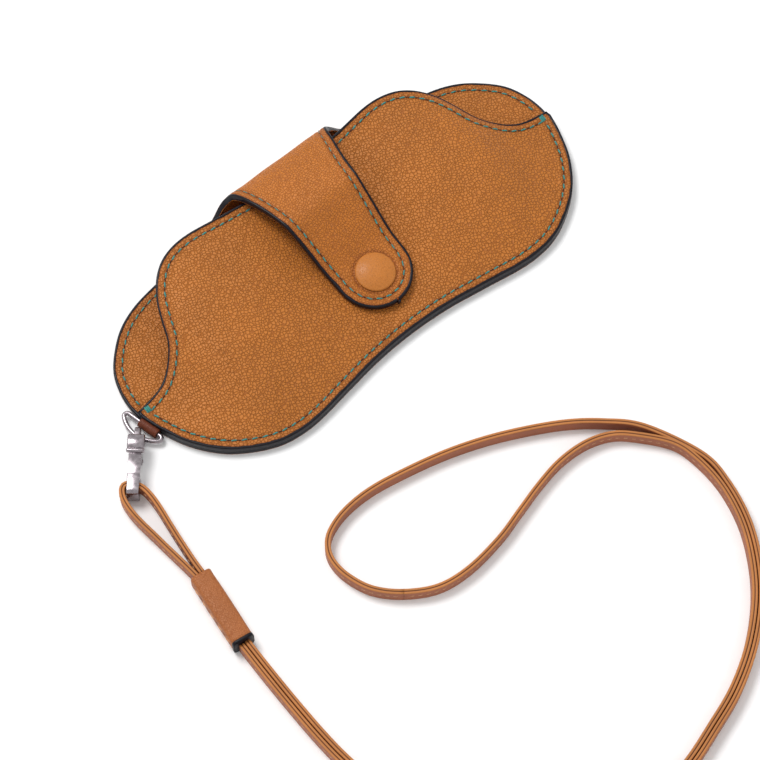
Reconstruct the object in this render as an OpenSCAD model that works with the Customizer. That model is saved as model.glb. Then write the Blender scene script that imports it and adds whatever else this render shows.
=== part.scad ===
// Leather glasses case with a strap that closes on a press stud, and a neck strap on a trigger hook.
// The case lies on its back: +X along its length, +Y towards the strap's fold, +Z up through the
// front panel. The origin is the middle of the case, on its back face.

/* [Leather] */
// Thickness of the outer leather of each panel
leather_t = 1.3; // [1.1:0.1:1.4]
// Thickness of the lining of each panel
lining_t = 0.8; // [0.6:0.1:0.9]

/* [Pocket] */
// How far the front panel stands off the back panel at the mouth
pocket_lift = 9.5; // [8:0.5:10]
// Flat margin that is sewn down along the lower edge
seam_margin = 4; // [3:0.5:5]

/* [Strap] */
// Sideways place of the strap's middle line
strap_x = 1.8; // [0:0.2:2.4]

/* [Press stud] */
// Diameter of the leather-covered cap
cap_d = 13; // [12:0.5:14]
// Height of the cap's dome
cap_h = 1.9; // [1.5:0.1:2.4]

/* [Stitching] */
// Distance from one stitch to the next
stitch_pitch = 3.2; // [2.8:0.1:4]
// Length of the thread that shows in one stitch
stitch_len = 1.9; // [1.5:0.1:2.2]
// Distance of the stitch line from the edge
stitch_inset = 2.8; // [2.4:0.1:3.2]

/* [Ring and hook] */
// Length of the ring's straight bar, between wire centres
ring_w = 14.4; // [13:0.2:15]
// Depth of the ring's bow, between wire centres
ring_depth = 4.4; // [4.2:0.1:5]
// Diameter of the ring's wire
ring_wire = 1.5; // [1.4:0.1:1.6]
// Width of the hook's shank
shank_w = 3.8; // [3.4:0.1:4.2]

/* [Neck strap] */
// Width of the ribbon, which lies on its edge
ribbon_w = 5; // [4.6:0.1:5.2]
// Thickness of the ribbon
ribbon_t = 1.8; // [1.4:0.1:1.8]

/* [Hidden] */

$fn = 48;
panel_t = leather_t + lining_t;
seam_t = 2*panel_t;

// ---------- curves ----------

// One point of a Catmull-Rom curve between b and c
function curve_at(a, b, c, d, t) =
    0.5*(2*b + (c - a)*t + (2*a - 5*b + 4*c - d)*t*t + (3*b - a - 3*c + d)*t*t*t);

// A smooth curve through the points of p, with n steps between neighbours
function curve(p, n) = let (last = len(p) - 1) [
    for (i = [0 : last - 1]) for (j = [0 : n - 1])
        curve_at(p[max(i - 1, 0)], p[i], p[i + 1], p[min(i + 2, last)], j/n),
    p[last]];

function mirrored(p) = [for (i = [len(p) - 1 : -1 : 0]) [-p[i].x, p[i].y]];
function whole(p) = concat([for (i = [0 : len(p) - 2]) p[i]], mirrored(p));
function clamp01(t) = min(max(t, 0), 1);
function unit(v) = v/norm(v);

// Length along a curve up to each of its points
function runs(p, i = 0, acc = 0) = i >= len(p) ? [] :
    let (here = i == 0 ? 0 : acc + norm(p[i] - p[i - 1])) concat([here], runs(p, i + 1, here));

function index_at(r, s, i = 0) = (i >= len(r) - 2 || r[i + 1] >= s) ? i : index_at(r, s, i + 1);

// The point at distance s along curve p, whose running lengths are r
function point_at(p, r, s) = let (i = index_at(r, s), k = (s - r[i])/(r[i + 1] - r[i]))
    p[i] + (p[i + 1] - p[i])*k;

// n + 1 points at even distances along p
function even(p, n) = let (r = runs(p), total = r[len(r) - 1])
    [for (i = [0 : n]) point_at(p, r, total*i/n)];

// Direction of curve p at its point i
function heading(p, i) = unit(p[min(i + 1, len(p) - 1)] - p[max(i - 1, 0)]);

// Curve p moved sideways, to its left for a positive d
function beside(p, d) = [for (i = [0 : len(p) - 1]) let (h = heading(p, i)) p[i] + d*[-h.y, h.x]];

// ---------- the case's outline ----------

// Lower edge of both panels, from the right end to the middle
low_half = [[84.5, -1.5], [82.5, -8.5], [78.5, -17.8], [72, -26.4], [64, -32.3], [56, -35.9],
            [48, -37.1], [40, -36.7], [28, -34.8], [14, -32.8], [0, -32.1]];
// Upper edge of the back panel, from the right end to the strap's root
lobe = [[84.5, -1.5], [84.8, 3.5], [84, 9.5], [81.4, 16.4], [76.5, 22.3], [70, 27.5], [62, 30.9],
        [52, 32.8], [42, 33.8]];
// Mouth edge of the front panel, from the right end to the middle
mouth_half = [[84.2, 0.3], [75, 1.8], [69, 5.2], [63.6, 11], [60.5, 18], [57.5, 24.2],
              [52.5, 30.2], [46, 34], [37, 35.2], [22, 33.4], [0, 31.5]];
root_y = 35.2;
root_half_w = 30.8;

low_edge = curve(whole(low_half), 4);
mouth_edge = curve(whole(mouth_half), 4);
right_lobe = curve(concat(lobe, [[strap_x + root_half_w, root_y]]), 4);
left_lobe = curve(concat([[strap_x - root_half_w, root_y]], mirrored(lobe)), 4);
back_outline = concat([for (i = [len(low_edge) - 1 : -1 : 1]) low_edge[i]], right_lobe,
                      [for (i = [0 : len(left_lobe) - 2]) left_lobe[i]]);

// ---------- the front panel's shape ----------

// Height of the pocket between the panels, t of the way from the sewn margin to the mouth
bulge_x = 63;
sink_w = 20;
function lift(x, t) =
    pocket_lift*(1 - pow(1 - t, 2))/(1 + pow(abs(x)/bulge_x, 14))
    *(1 - 0.9*exp(-pow((x - strap_x)/sink_w, 2))*sqrt(1 - t));

columns = len(low_edge) - 1;
rows = 9;
function across(i, j) = let (a = low_edge[i], b = mouth_edge[i]) a + (b - a)*(j/rows);
function open_part(i, j) = let (l = norm(mouth_edge[i] - low_edge[i]))
    clamp01((l*j/rows - seam_margin)/max(l - seam_margin, 1));
function front_point(i, j, z0) = let (p = across(i, j)) [p.x, p.y, z0 + lift(p.x, open_part(i, j))];

// A closed sheet between two grids of points, each given as rows of points
module sheet(low, high) {
    n = len(low);
    m = len(low[0]);
    points = concat([for (r = low) for (p = r) p], [for (r = high) for (p = r) p]);
    top = n*m;
    function at(i, j, side) = side*top + i*m + j;
    faces = concat(
        [for (i = [0 : n - 2]) for (j = [0 : m - 2]) for (f = [
            [at(i, j, 1), at(i, j + 1, 1), at(i + 1, j, 1)],
            [at(i + 1, j, 1), at(i, j + 1, 1), at(i + 1, j + 1, 1)],
            [at(i, j, 0), at(i + 1, j, 0), at(i, j + 1, 0)],
            [at(i + 1, j, 0), at(i + 1, j + 1, 0), at(i, j + 1, 0)]]) f],
        [for (i = [0 : n - 2]) for (f = [
            [at(i, 0, 0), at(i, 0, 1), at(i + 1, 0, 1), at(i + 1, 0, 0)],
            [at(i, m - 1, 1), at(i, m - 1, 0), at(i + 1, m - 1, 0), at(i + 1, m - 1, 1)]]) f],
        [for (j = [0 : m - 2]) for (f = [
            [at(0, j, 1), at(0, j, 0), at(0, j + 1, 0), at(0, j + 1, 1)],
            [at(n - 1, j, 0), at(n - 1, j, 1), at(n - 1, j + 1, 1), at(n - 1, j + 1, 0)]]) f]);
    polyhedron(points, faces, convexity = 6);
}

module front_sheet(z0, z1) {
    sheet([for (i = [0 : columns]) [for (j = [0 : rows]) front_point(i, j, z0)]],
          [for (i = [0 : columns]) [for (j = [0 : rows]) front_point(i, j, z1)]]);
}

// ---------- the strap's shape ----------

// Side profiles of the strap's outer face, as [y, z, half its width]. The root carries on from the
// back panel, flat at first, and bends up to the pivot. The flap goes on over the fold to its tip.
bend_r = 2.7;
bend_angle = 80;
root_flat = 0.4;
root_narrowing = 2.4;
root_curve = concat([[root_y, 0, root_half_w]], [for (k = [0 : 16]) let (a = bend_angle*k/16)
    [root_y + root_flat + bend_r*sin(a), bend_r*(1 - cos(a)), root_half_w - root_narrowing*k/16]]);
pivot = root_curve[len(root_curve) - 1];
flap_points = [pivot, [38.55, 5.6, 25.5], [38.8, 9, 23], [38.3, 12, 21], [36.4, 15.4, 19.4],
               [31, 17.8, 17.8], [22.6, 19, 15.8], [14.3, 19.4, 14.6], [5.9, 15.6, 13.8], [-1.5, 11.6, 13.2],
               [-5.5, 10.2, 12.9], [-17.5, 8.1, 12.6], [-23, 7.4, 12.6]];
// The flap bends back about the outer face of the root's end, a little short of it
pivot_gap = 0.5;
tip_r = 12.5;

// Direction from the outer face into the strap
function inward(p, i) =
    let (a = p[max(i - 1, 0)], b = p[min(i + 1, len(p) - 1)], h = unit([b.x - a.x, b.y - a.y])) [-h.y, h.x];

// One cross-row of the strap, d in from its outer face, from its left edge to its right edge
function strap_row(p, i, d, half) = let (q = p[i], n = inward(p, i), y = q.x + n.x*d, z = q.y + n.y*d)
    [for (k = [-1, 1]) [strap_x + k*half, y, z]];

// Half width at p[i], drawn in to the round tip over its last tip_r of length
function tip_half(p, r, i) = let (left = r[len(r) - 1] - r[i])
    left >= tip_r ? p[i].z : max(0.6, sqrt(max(0, tip_r*tip_r - pow(tip_r - left, 2)))*p[i].z/tip_r);

module strap_sheet(p, d0, d1, round_tip) {
    r = runs([for (q = p) [q.x, q.y]]);
    last = len(p) - 1;
    sheet([for (i = [0 : last]) strap_row(p, i, d0, round_tip ? tip_half(p, r, i) : p[i].z)],
          [for (i = [0 : last]) strap_row(p, i, d1, round_tip ? tip_half(p, r, i) : p[i].z)]);
}

flap_curve_raw = curve(flap_points, 3);
// The flap starts a little past the root's end, and has extra rows in its round tip
flap_curve = let (r = runs(flap_curve_raw), total = r[len(r) - 1]) concat(
    [for (s = [pivot_gap : 2.6 : total - tip_r]) point_at(flap_curve_raw, r, s)],
    [for (k = [0 : 9]) point_at(flap_curve_raw, r, total - tip_r + tip_r*sin(k*10)*0.999)]);

// Slope of the flap where the press stud sits
stud_y = -11.5;
stud_tilt = 10;
stud_z = 9.15;

module at_stud() { translate([strap_x, stud_y, stud_z]) rotate([stud_tilt, 0, 0]) children(); }

// ---------- stitching ----------

thread_r = 0.35;

// One stitch of thread lying along +X with its middle on the surface
module stitch(l = stitch_len) {
    rotate([0, 90, 0]) cylinder(h = l, r = thread_r, center = true, $fn = 16);
}

// A row of stitches along the curve p, which is a list of [x, y, z]
module stitch_row(p) {
    r = runs(p);
    total = r[len(r) - 1];
    n = floor(total/stitch_pitch);
    step = total/n;
    for (k = [0 : n - 1]) {
        a = point_at(p, r, (k + 0.5)*step - stitch_len/2);
        b = point_at(p, r, (k + 0.5)*step + stitch_len/2);
        h = b - a;
        translate((a + b)/2) rotate([0, -atan2(h.z, norm([h.x, h.y])), atan2(h.y, h.x)]) stitch(norm(h));
    }
}

function at_height(p, z) = [for (q = p) [q.x, q.y, z]];
function part_of(p, a, b) = [for (i = [a : b]) p[i]];

// ---------- ring, tab and hook ----------

// Middle of the ring's bar, and the directions along it and away from the case
bar_dir = [0.216, -0.976, 0];
out_dir = [-0.976, -0.216, 0];
tab_edge = [-83.7, -3.5, panel_t];
bar_gap = 0.5;
bar_mid = tab_edge + out_dir*(ring_wire/2 + bar_gap);
bar_angle = atan2(out_dir.y, out_dir.x);
tab_w = 7;
tab_t = 0.6;
tab_in = 6;
tab_shift = 1.8;

// Children are drawn with +X away from the case, +Y along the edge and the origin in the bar's middle
module at_bar() { translate(bar_mid) rotate([0, 0, bar_angle]) children(); }

// The slot in the back lining that the tab's sewn end fills
module tab_slot() {
    at_bar() translate([-tab_in - 0.1, tab_shift - tab_w/2 - 0.1, -lining_t - 0.01])
        cube([tab_in + 3, tab_w + 0.2, lining_t + 0.02]);
}

// Crossing of the hook and the ring's bow, and the hook's direction over the floor
hook_at = [-89, -5.6, 0];
hook_angle = 228.3;
module at_hook() { translate(hook_at) rotate([0, 0, hook_angle]) children(); }

bill_r = 1.8;
bill_t = 0.9;
bill_z = 2.75;
bill_w = 1.8;
head_w = 5.3;
spine_lo = 6.1;
spine_hi = 7.4;
shank_end = 18.6;
eye_from = 15.8;
eye_to = 18.8;
eye_lo = 0.9;
hook_len = 21.4;
gate_pivot = [8.2, 1.9];
gate_w = 1.8;
pin_r = 0.5;

// ---------- neck strap ----------

// Middle line of the doubled strap over the floor, from the keeper to where the two strands part
run_points = [[-107, -80.5], [-107.6, -93], [-108, -107], [-108, -119], [-107.4, -129], [-105.4, -145],
              [-100, -162], [-89, -178], [-73, -189], [-55, -194.5], [-42, -195.3], [-30, -193.5],
              [-18, -190], [-5, -185.6], [8, -178.6], [19.5, -169.4], [28, -159.3], [34.6, -147.6],
              [38.3, -134.8], [38.7, -122.8], [36.6, -113.8]];
// The rest of each strand, to the far end of the loop
outer_points = [[32.6, -104.6], [24, -95], [13, -86.6], [-3.7, -77.8], [-19, -72], [-34.4, -68.2],
                [-46.5, -66.3], [-56.7, -66.7], [-64.4, -69.2], [-68.4, -73], [-70, -78], [-69.4, -84.4],
                [-66.4, -91.8], [-60, -98.6]];
inner_points = [[28.4, -104.6], [22.6, -99.6], [14.6, -96.8], [4.7, -96.4], [-5.4, -98.2], [-15.8, -101],
                [-26.3, -103.8], [-39.7, -105.4], [-50.7, -104], [-60, -98.6]];
// The short loop that holds the hook, from the keeper through the hook's eye and back
loop_points = [[-104.5, -54.9], [-104.8, -50], [-105.4, -43], [-106, -36], [-106.6, -30], [-106.7, -25],
               [-106, -20.6], [-104.4, -17.8], [-102.6, -17.2], [-100.5, -18.9], [-99.2, -21.4],
               [-98.9, -25], [-99.3, -30], [-100.2, -36], [-101.2, -43], [-102.1, -50], [-102.5, -54.9]];
strand_gap = 0.3;
ribbon_z = ribbon_w/2 + 0.05;
eye_lift = 1;
keeper_from = [-103.5, -55];
keeper_to = [-107, -80.4];
keeper_w = 7;
keeper_h = 6.6;

// A ribbon on its edge along route p, as [x, y, z] of its middle line
module ribbon(p) {
    c = 0.3;
    w = ribbon_w/2;
    t = ribbon_t/2;
    section = [[t, -w + c], [t, w - c], [t - c, w], [c - t, w],
               [-t, w - c], [-t, c - w], [c - t, -w], [t - c, -w]];
    m = len(section);
    n = len(p);
    points = [for (i = [0 : n - 1]) let (h = heading(p, i), f = unit([h.x, h.y])) for (s = section)
        p[i] + [s.x*f.y, -s.x*f.x, s.y]];
    faces = concat([[for (k = [0 : m - 1]) k]], [[for (k = [m - 1 : -1 : 0]) (n - 1)*m + k]],
        [for (i = [0 : n - 2]) for (k = [0 : m - 1]) let (l = (k + 1) % m)
            [i*m + k, (i + 1)*m + k, (i + 1)*m + l, i*m + l]]);
    polyhedron(points, faces, convexity = 8);
}

strand_step = (ribbon_t + strand_gap)/2;
outer_route = even(curve(concat(part_of(beside(run_points, -strand_step), 0, 19), outer_points), 4), 38);
inner_route = even(curve(concat(part_of(beside(run_points, strand_step), 0, 20), inner_points), 4), 34);
loop_route = curve(loop_points, 1);

// Height of the short loop's middle line: it rises where it passes through the hook's eye
function loop_z(y) = ribbon_z + eye_lift*clamp01((y + 40)/14);

// ---------- the nodes ----------

module back_leather() color("peru") linear_extrude(leather_t) polygon(back_outline);

module back_lining() color("sienna") difference() {
    translate([0, 0, leather_t]) linear_extrude(lining_t) polygon(back_outline);
    tab_slot();
}

module front_leather() color("peru") front_sheet(panel_t + lining_t, seam_t);

module front_lining() color("sienna") front_sheet(panel_t, panel_t + lining_t);

module strap_root() color("peru") strap_sheet(root_curve, leather_t, 0, false);

module strap_root_lining() color("sienna") strap_sheet(root_curve, panel_t, leather_t, false);

module seam_thread() color("darkturquoise") {
    line = beside(low_edge, -stitch_inset);
    stitch_row(at_height(part_of(line, 2, len(line) - 3), seam_t));
}

module mouth_thread() color("darkturquoise") {
    line = [for (i = [3 : columns - 3]) let (
        a = across(i, rows), b = across(i, rows - 1), q = a + unit(b - a)*stitch_inset,
        l = norm(mouth_edge[i] - low_edge[i]), t = clamp01((l - stitch_inset - seam_margin)/(l - seam_margin)))
        [q.x, q.y, seam_t + lift(q.x, t)]];
    stitch_row(line);
}

module lobe_thread(edge, a, b) color("darkturquoise") {
    stitch_row(at_height(part_of(beside(edge, stitch_inset), a, b), panel_t));
}

module lobe_thread_left() lobe_thread(left_lobe, 5, len(left_lobe) - 6);

module lobe_thread_right() lobe_thread(right_lobe, 5, len(right_lobe) - 6);

module bar_tacks() color("darkturquoise") {
    for (side = [-1, 1]) for (k = [-1, 1])
        translate([side*81.4 + k*0.45, -0.9, seam_t]) rotate([0, 0, 90]) stitch(2.4);
}

// The ball half of the press stud, on the front panel
module stud() color("silver") at_stud() {
    translate([0, 0, -4.4]) cylinder(h = 0.6, d = 8);
    translate([0, 0, -4.4]) cylinder(h = 1.8, r = 1.3);
    translate([0, 0, -2.8]) cylinder(h = 0.6, r = 1.6);
}

// The rivet that holds it, with its flange inside the pocket
module stud_rivet() color("silver") at_stud() {
    translate([0, 0, -6.3]) cylinder(h = 0.4, d = 5.6);
    translate([0, 0, -6.1]) cylinder(h = 1.7, r = 1.1);
}

// A strip folded round the ring's bar, with its end sewn between the panels
module ring_tab() color("saddlebrown") at_bar() {
    r0 = ring_wire/2 + 0.1;
    y0 = tab_shift - tab_w/2;
    translate([0, y0 + tab_w, 0]) rotate([90, 0, 0]) linear_extrude(tab_w) difference() {
        union() {
            intersection() {
                circle(r = r0 + tab_t);
                translate([0.5 - ring_wire/2 - bar_gap, -4]) square([8, 8]);
            }
            translate([-tab_in, -tab_t]) square([tab_in, tab_t]);
        }
        circle(r = r0);
    }
}

module strap_leather() color("peru") strap_sheet(flap_curve, leather_t, 0, true);

module strap_lining() color("sienna") strap_sheet(flap_curve, panel_t, leather_t, true);

module strap_thread() color("darkturquoise") {
    r = runs([for (q = flap_curve) [q.x, q.y]]);
    rows_in = len(flap_curve) - 4;
    side = [for (i = [1 : rows_in])
        [tip_half(flap_curve, r, i) - stitch_inset, flap_curve[i].x, flap_curve[i].y]];
    left = [for (q = side) [strap_x - q.x, q.y, q.z]];
    right = [for (i = [len(side) - 1 : -1 : 0]) [strap_x + side[i].x, side[i].y, side[i].z]];
    stitch_row(concat(left, right));
}

module stud_cap() color("darkgoldenrod") at_stud() {
    sphere_r = (pow(cap_d/2, 2) + cap_h*cap_h)/(2*cap_h);
    intersection() {
        translate([0, 0, cap_h - sphere_r]) sphere(r = sphere_r, $fn = 96);
        cylinder(h = cap_h + 1, d = cap_d);
    }
}

module stud_socket() color("silver") at_stud() difference() {
    union() {
        translate([0, 0, -3.3]) cylinder(h = 1.2, d = 8);
        translate([0, 0, -2.2]) cylinder(h = 2.2, r = 2.4);
    }
    translate([0, 0, -3.7]) cylinder(h = 1.6, r = 1.95);
}

// Middle line of the ring's wire, with the bar on the Y axis: the bow is one arc, and a corner of
// radius ring_corner joins it to each end of the bar
ring_corner = 1;
bow_r = (pow(ring_depth - ring_corner, 2) + pow(ring_w/2 - ring_corner, 2) - ring_corner*ring_corner)
        /(2*(ring_depth - 2*ring_corner));
bow_mid = ring_depth - bow_r;
bow_half = atan2(ring_w/2 - ring_corner, ring_corner - bow_mid);
function on_arc(middle, r, a) = middle + r*[cos(a), sin(a)];
ring_path = concat(
    [for (k = [-8 : 8]) on_arc([bow_mid, 0], bow_r, bow_half*k/8)],
    [for (k = [1 : 6]) on_arc([ring_corner, ring_w/2 - ring_corner], ring_corner,
                              bow_half + (180 - bow_half)*k/6)],
    [for (k = [6 : -1 : 1]) on_arc([ring_corner, ring_corner - ring_w/2], ring_corner,
                                   -bow_half - (180 - bow_half)*k/6)]);

module dee_ring() color("silver") at_bar() {
    n = len(ring_path);
    s = 20;
    points = [for (i = [0 : n - 1])
        let (d = unit(ring_path[(i + 1) % n] - ring_path[(i + n - 1) % n]), r = ring_wire/2)
        for (k = [0 : s - 1]) let (a = 360*k/s)
            [ring_path[i].x + d.y*r*cos(a), ring_path[i].y - d.x*r*cos(a), r*sin(a)]];
    faces = [for (i = [0 : n - 1]) for (k = [0 : s - 1])
        let (j = (i + 1) % n, l = (k + 1) % s)
        for (f = [[i*s + k, i*s + l, j*s + l], [i*s + k, j*s + l, j*s + k]]) f];
    polyhedron(points, faces, convexity = 4);
}

module slab(w) { translate([0, w/2, 0]) rotate([90, 0, 0]) linear_extrude(w) children(); }

// The gate's pin lies along Z of its children
module along_pin() translate([gate_pivot.x, 0, gate_pivot.y]) rotate([90, 0, 0]) children();

module hook_body() color("silver") at_hook() {
    // The bill curls over the ring's bow and under it
    slab(bill_w) difference() {
        translate([0, bill_z]) circle(r = bill_r + bill_t);
        translate([0, bill_z]) circle(r = bill_r);
        translate([1.4, -2]) square([4, bill_z + 2.6]);
    }
    slab(bill_w) translate([0, bill_z + bill_r]) square([2.6, 1.8]);
    // The barrel-shaped head, with a bead behind it
    slab(head_w) difference() {
        translate([4, 2.9]) circle(r = 5, $fn = 64);
        translate([-2, -4]) square([12, spine_lo - 1.2 + 4]);
        translate([-2, -4]) square([3.4, 20]);
        translate([6.4, -4]) square([6, 20]);
    }
    translate([7, 0, spine_hi - 0.2]) rotate([90, 0, 0]) cylinder(h = head_w + 0.3, r = 0.75, center = true);
    // The shank, with two cheeks for the gate's pin
    slab(shank_w) translate([6.2, spine_lo]) square([shank_end - 6.2, spine_hi - spine_lo]);
    for (side = [-1, 1]) translate([0, side*(shank_w/2 - 0.4), 0]) difference() {
        slab(0.8) hull() {
            translate([gate_pivot.x - 1.4, spine_lo]) square([2.8, 0.5]);
            translate(gate_pivot) circle(r = 1.3);
        }
        along_pin() cylinder(h = 4, r = pin_r, center = true);
    }
    // The eye that the ribbon passes through
    slab(shank_w) difference() {
        union() {
            translate([eye_from - 1.4, 0.1]) square([hook_len - eye_from, spine_hi - 0.1]);
            translate([hook_len - 1.6, 1.7]) circle(r = 1.6);
            translate([hook_len - 1.6, spine_hi - 2.2]) circle(r = 1.4);
        }
        translate([eye_from, eye_lo]) square([eye_to - eye_from, spine_lo - eye_lo]);
    }
}

module hook_gate() color("silver") at_hook() difference() {
    slab(gate_w) union() {
        translate(gate_pivot) circle(r = 1.2);
        translate([1.75, 0.5]) square([gate_pivot.x - 1.75, 1.1]);
    }
    along_pin() cylinder(h = 6, r = pin_r + 0.05, center = true);
}

module gate_pin() color("silver") at_hook() along_pin() cylinder(h = shank_w + 0.4, r = pin_r, center = true);

// Leaf spring between the shank and the gate
module gate_spring() color("silver") at_hook()
    slab(1.2) polygon([[8.9, 6.1], [9.2, 6.1], [7.3, 4.2], [6.1, 1.75], [5.8, 1.75], [7, 4.4]]);

module hook_loop() color("peru") ribbon([for (q = loop_route) [q.x, q.y, loop_z(q.y)]]);

module keeper() color("chocolate") {
    d = keeper_to - keeper_from;
    translate([keeper_from.x, keeper_from.y, keeper_h/2 + 0.05]) rotate([0, 0, atan2(d.y, d.x)])
        rotate([90, 0, 90]) linear_extrude(norm(d))
            offset(r = 1, $fn = 24) square([keeper_w - 2, keeper_h - 2], center = true);
}

module keeper_thread() color("wheat") {
    d = unit(keeper_to - keeper_from);
    side = [d.y, -d.x];
    for (k = [0 : 5]) {
        q = keeper_from + d*(3.4 + 3.9*k) + side*(keeper_w/2);
        translate([q.x, q.y, keeper_h/2]) rotate([0, 0, atan2(d.y, d.x)]) stitch(2.2);
    }
}

module neck_strap_outer() color("peru") ribbon([for (q = outer_route) [q.x, q.y, ribbon_z]]);

module neck_strap_inner() color("peru") ribbon([for (q = inner_route) [q.x, q.y, ribbon_z]]);

back_leather();
back_lining();
front_leather();
front_lining();
strap_root();
strap_root_lining();
seam_thread();
mouth_thread();
lobe_thread_left();
lobe_thread_right();
bar_tacks();
stud();
stud_rivet();
ring_tab();
strap_leather();
strap_lining();
strap_thread();
stud_cap();
stud_socket();
dee_ring();
hook_body();
hook_gate();
gate_pin();
gate_spring();
hook_loop();
keeper();
keeper_thread();
neck_strap_outer();
neck_strap_inner();
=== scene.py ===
# %% [markdown]
# # A leather glasses case on a neck strap
# The case is a pocket of two leather panels sewn along their lower edge. A strap grows out of the
# back panel, folds over the pocket and closes on a press stud. A ribbon neck strap clips to a ring
# at one end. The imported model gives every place; this script gives every surface.

# %% Load the frame
import math
import random

import bmesh
import bpy
import numpy as np
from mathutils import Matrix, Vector, noise
from mathutils.bvhtree import BVHTree
from mathutils.kdtree import KDTree


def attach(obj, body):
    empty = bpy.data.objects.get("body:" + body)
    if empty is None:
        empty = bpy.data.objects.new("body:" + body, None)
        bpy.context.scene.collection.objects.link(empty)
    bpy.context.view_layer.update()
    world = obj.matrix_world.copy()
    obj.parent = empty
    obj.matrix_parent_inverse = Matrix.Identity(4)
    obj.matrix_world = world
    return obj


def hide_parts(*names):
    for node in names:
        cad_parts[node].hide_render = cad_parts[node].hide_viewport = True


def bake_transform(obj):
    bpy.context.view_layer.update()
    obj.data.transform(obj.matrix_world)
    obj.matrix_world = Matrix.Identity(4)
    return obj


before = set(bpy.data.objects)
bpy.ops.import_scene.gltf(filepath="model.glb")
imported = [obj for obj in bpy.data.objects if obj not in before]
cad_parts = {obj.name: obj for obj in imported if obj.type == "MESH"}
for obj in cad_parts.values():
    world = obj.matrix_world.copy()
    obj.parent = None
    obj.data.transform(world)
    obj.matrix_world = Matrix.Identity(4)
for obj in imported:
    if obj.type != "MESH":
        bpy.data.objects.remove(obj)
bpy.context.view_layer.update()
MM = 0.001
random.seed(7)

# %% [markdown]
# ## Camera
# A long lens looks down at the table, steeply enough that heights hardly show. It aims at a point on
# the table between the case and the neck strap, so both stay in the frame.

# %% Camera
CAMERA_AZIMUTH = -40
CAMERA_HEIGHT_ANGLE = 64
CAMERA_DISTANCE = 937.5
LENS_LENGTH = 142
SENSOR_WIDTH = 36
NEAREST_SEEN = 0.05
FARTHEST_SEEN = 20
AIM = (-18.5, -38.0, 0.0)


def camera_offset(azimuth, height_angle, distance):
    a, e = math.radians(azimuth), math.radians(height_angle)
    level = math.cos(e) * distance
    return (math.sin(a) * level, -math.cos(a) * level, math.sin(e) * distance)


camera_data = bpy.data.cameras.new("camera")
camera_data.lens = LENS_LENGTH
camera_data.sensor_width = SENSOR_WIDTH
camera_data.clip_start = NEAREST_SEEN
camera_data.clip_end = FARTHEST_SEEN
camera = bpy.data.objects.new("camera", camera_data)
bpy.context.scene.collection.objects.link(camera)
offset = camera_offset(CAMERA_AZIMUTH, CAMERA_HEIGHT_ANGLE, CAMERA_DISTANCE)
camera.location = [(AIM[k] + offset[k]) * MM for k in range(3)]
camera.rotation_euler = (math.radians(90 - CAMERA_HEIGHT_ANGLE), 0, math.radians(CAMERA_AZIMUTH))
bpy.context.scene.camera = camera
print("camera at", [round(v, 3) for v in camera.location])

# %% [markdown]
# ## Curves
# Leather is cut along smooth lines, so every outline here is a Catmull-Rom curve through the few
# points that its shape needs. It passes through each point, which makes the points easy to place.


# %% Curves
def curve(points, steps):
    """A smooth curve through points, with this many steps between neighbours."""
    p = [np.array(q, float) for q in points]
    out = []
    for i in range(len(p) - 1):
        a, b, c, d = p[max(i - 1, 0)], p[i], p[i + 1], p[min(i + 2, len(p) - 1)]
        for j in range(steps):
            t = j / steps
            out.append(
                0.5 * (
                    2 * b + (c - a) * t + (
                        2 * a - 5 * b + 4 * c - d
                    ) * t**2 + (3 * b - a - 3 * c + d) * t**3
                )
            )
    return np.array(out + [p[-1]])


def running(p):
    """Length along a curve up to each of its points."""
    return np.concatenate([[0], np.cumsum(np.linalg.norm(np.diff(p, axis=0), axis=1))])


def spaced(p, at):
    """The points of curve p at the distances in at."""
    r = running(p)
    return np.stack([np.interp(at, r, p[:, k]) for k in range(p.shape[1])], axis=1)


def even(p, step):
    """Points about one step apart along p."""
    total = running(p)[-1]
    return spaced(p, np.linspace(0, total, max(2, int(round(total / step)) + 1)))


def headings(p):
    """Unit direction of curve p at each of its points."""
    q = np.concatenate([p[:1], p, p[-1:]])
    d = q[2:] - q[:-2]
    return d / np.linalg.norm(d, axis=1)[:, None]


def beside(p, d):
    """A flat curve moved d to its left."""
    h = headings(np.array(p, float))
    return np.array(p, float) + d * np.stack([-h[:, 1], h[:, 0]], axis=1)


def unit(v):
    v = np.array(v, float)
    return v / np.linalg.norm(v)


# %% [markdown]
# ## Meshes
# Every piece is made from lists of points and faces. Two forms do most of the work: a sheet, which is
# a grid of points with a thickness, and a sweep, which carries one section along a route.


# %% Mesh helpers
def piece(name, verts, faces, material, smooth=True, marks=None, merge=0.0, second=None, second_faces=()):
    """A mesh object from points in millimetres; marks are named per-point values for its material."""
    mesh = bpy.data.meshes.new(name)
    mesh.from_pydata(
        [tuple(float(c) * MM for c in v) for v in verts], [], [tuple(map(int, q)) for q in faces]
    )
    for k in second_faces:
        mesh.polygons[k].material_index = 1
    for mark, values in (marks or {}).items():
        layer = mesh.attributes.new(mark, "FLOAT", "POINT")
        layer.data.foreach_set("value", np.array(values, dtype=np.float32))
    bm = bmesh.new()
    bm.from_mesh(mesh)
    if merge:
        bmesh.ops.remove_doubles(bm, verts=bm.verts, dist=merge * MM)
    bmesh.ops.recalc_face_normals(bm, faces=bm.faces)
    for f in bm.faces:
        f.smooth = smooth
    bm.to_mesh(mesh)
    bm.free()
    mesh.materials.append(material)
    if second:
        mesh.materials.append(second)
    obj = bpy.data.objects.new(name, mesh)
    bpy.context.scene.collection.objects.link(obj)
    return obj


def join_parts(parts):
    """Several (verts, faces) lists as one."""
    verts, faces = [], []
    for v, f in parts:
        base = len(verts)
        verts.extend(v)
        faces.extend([tuple(i + base for i in q) for q in f])
    return verts, faces


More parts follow.
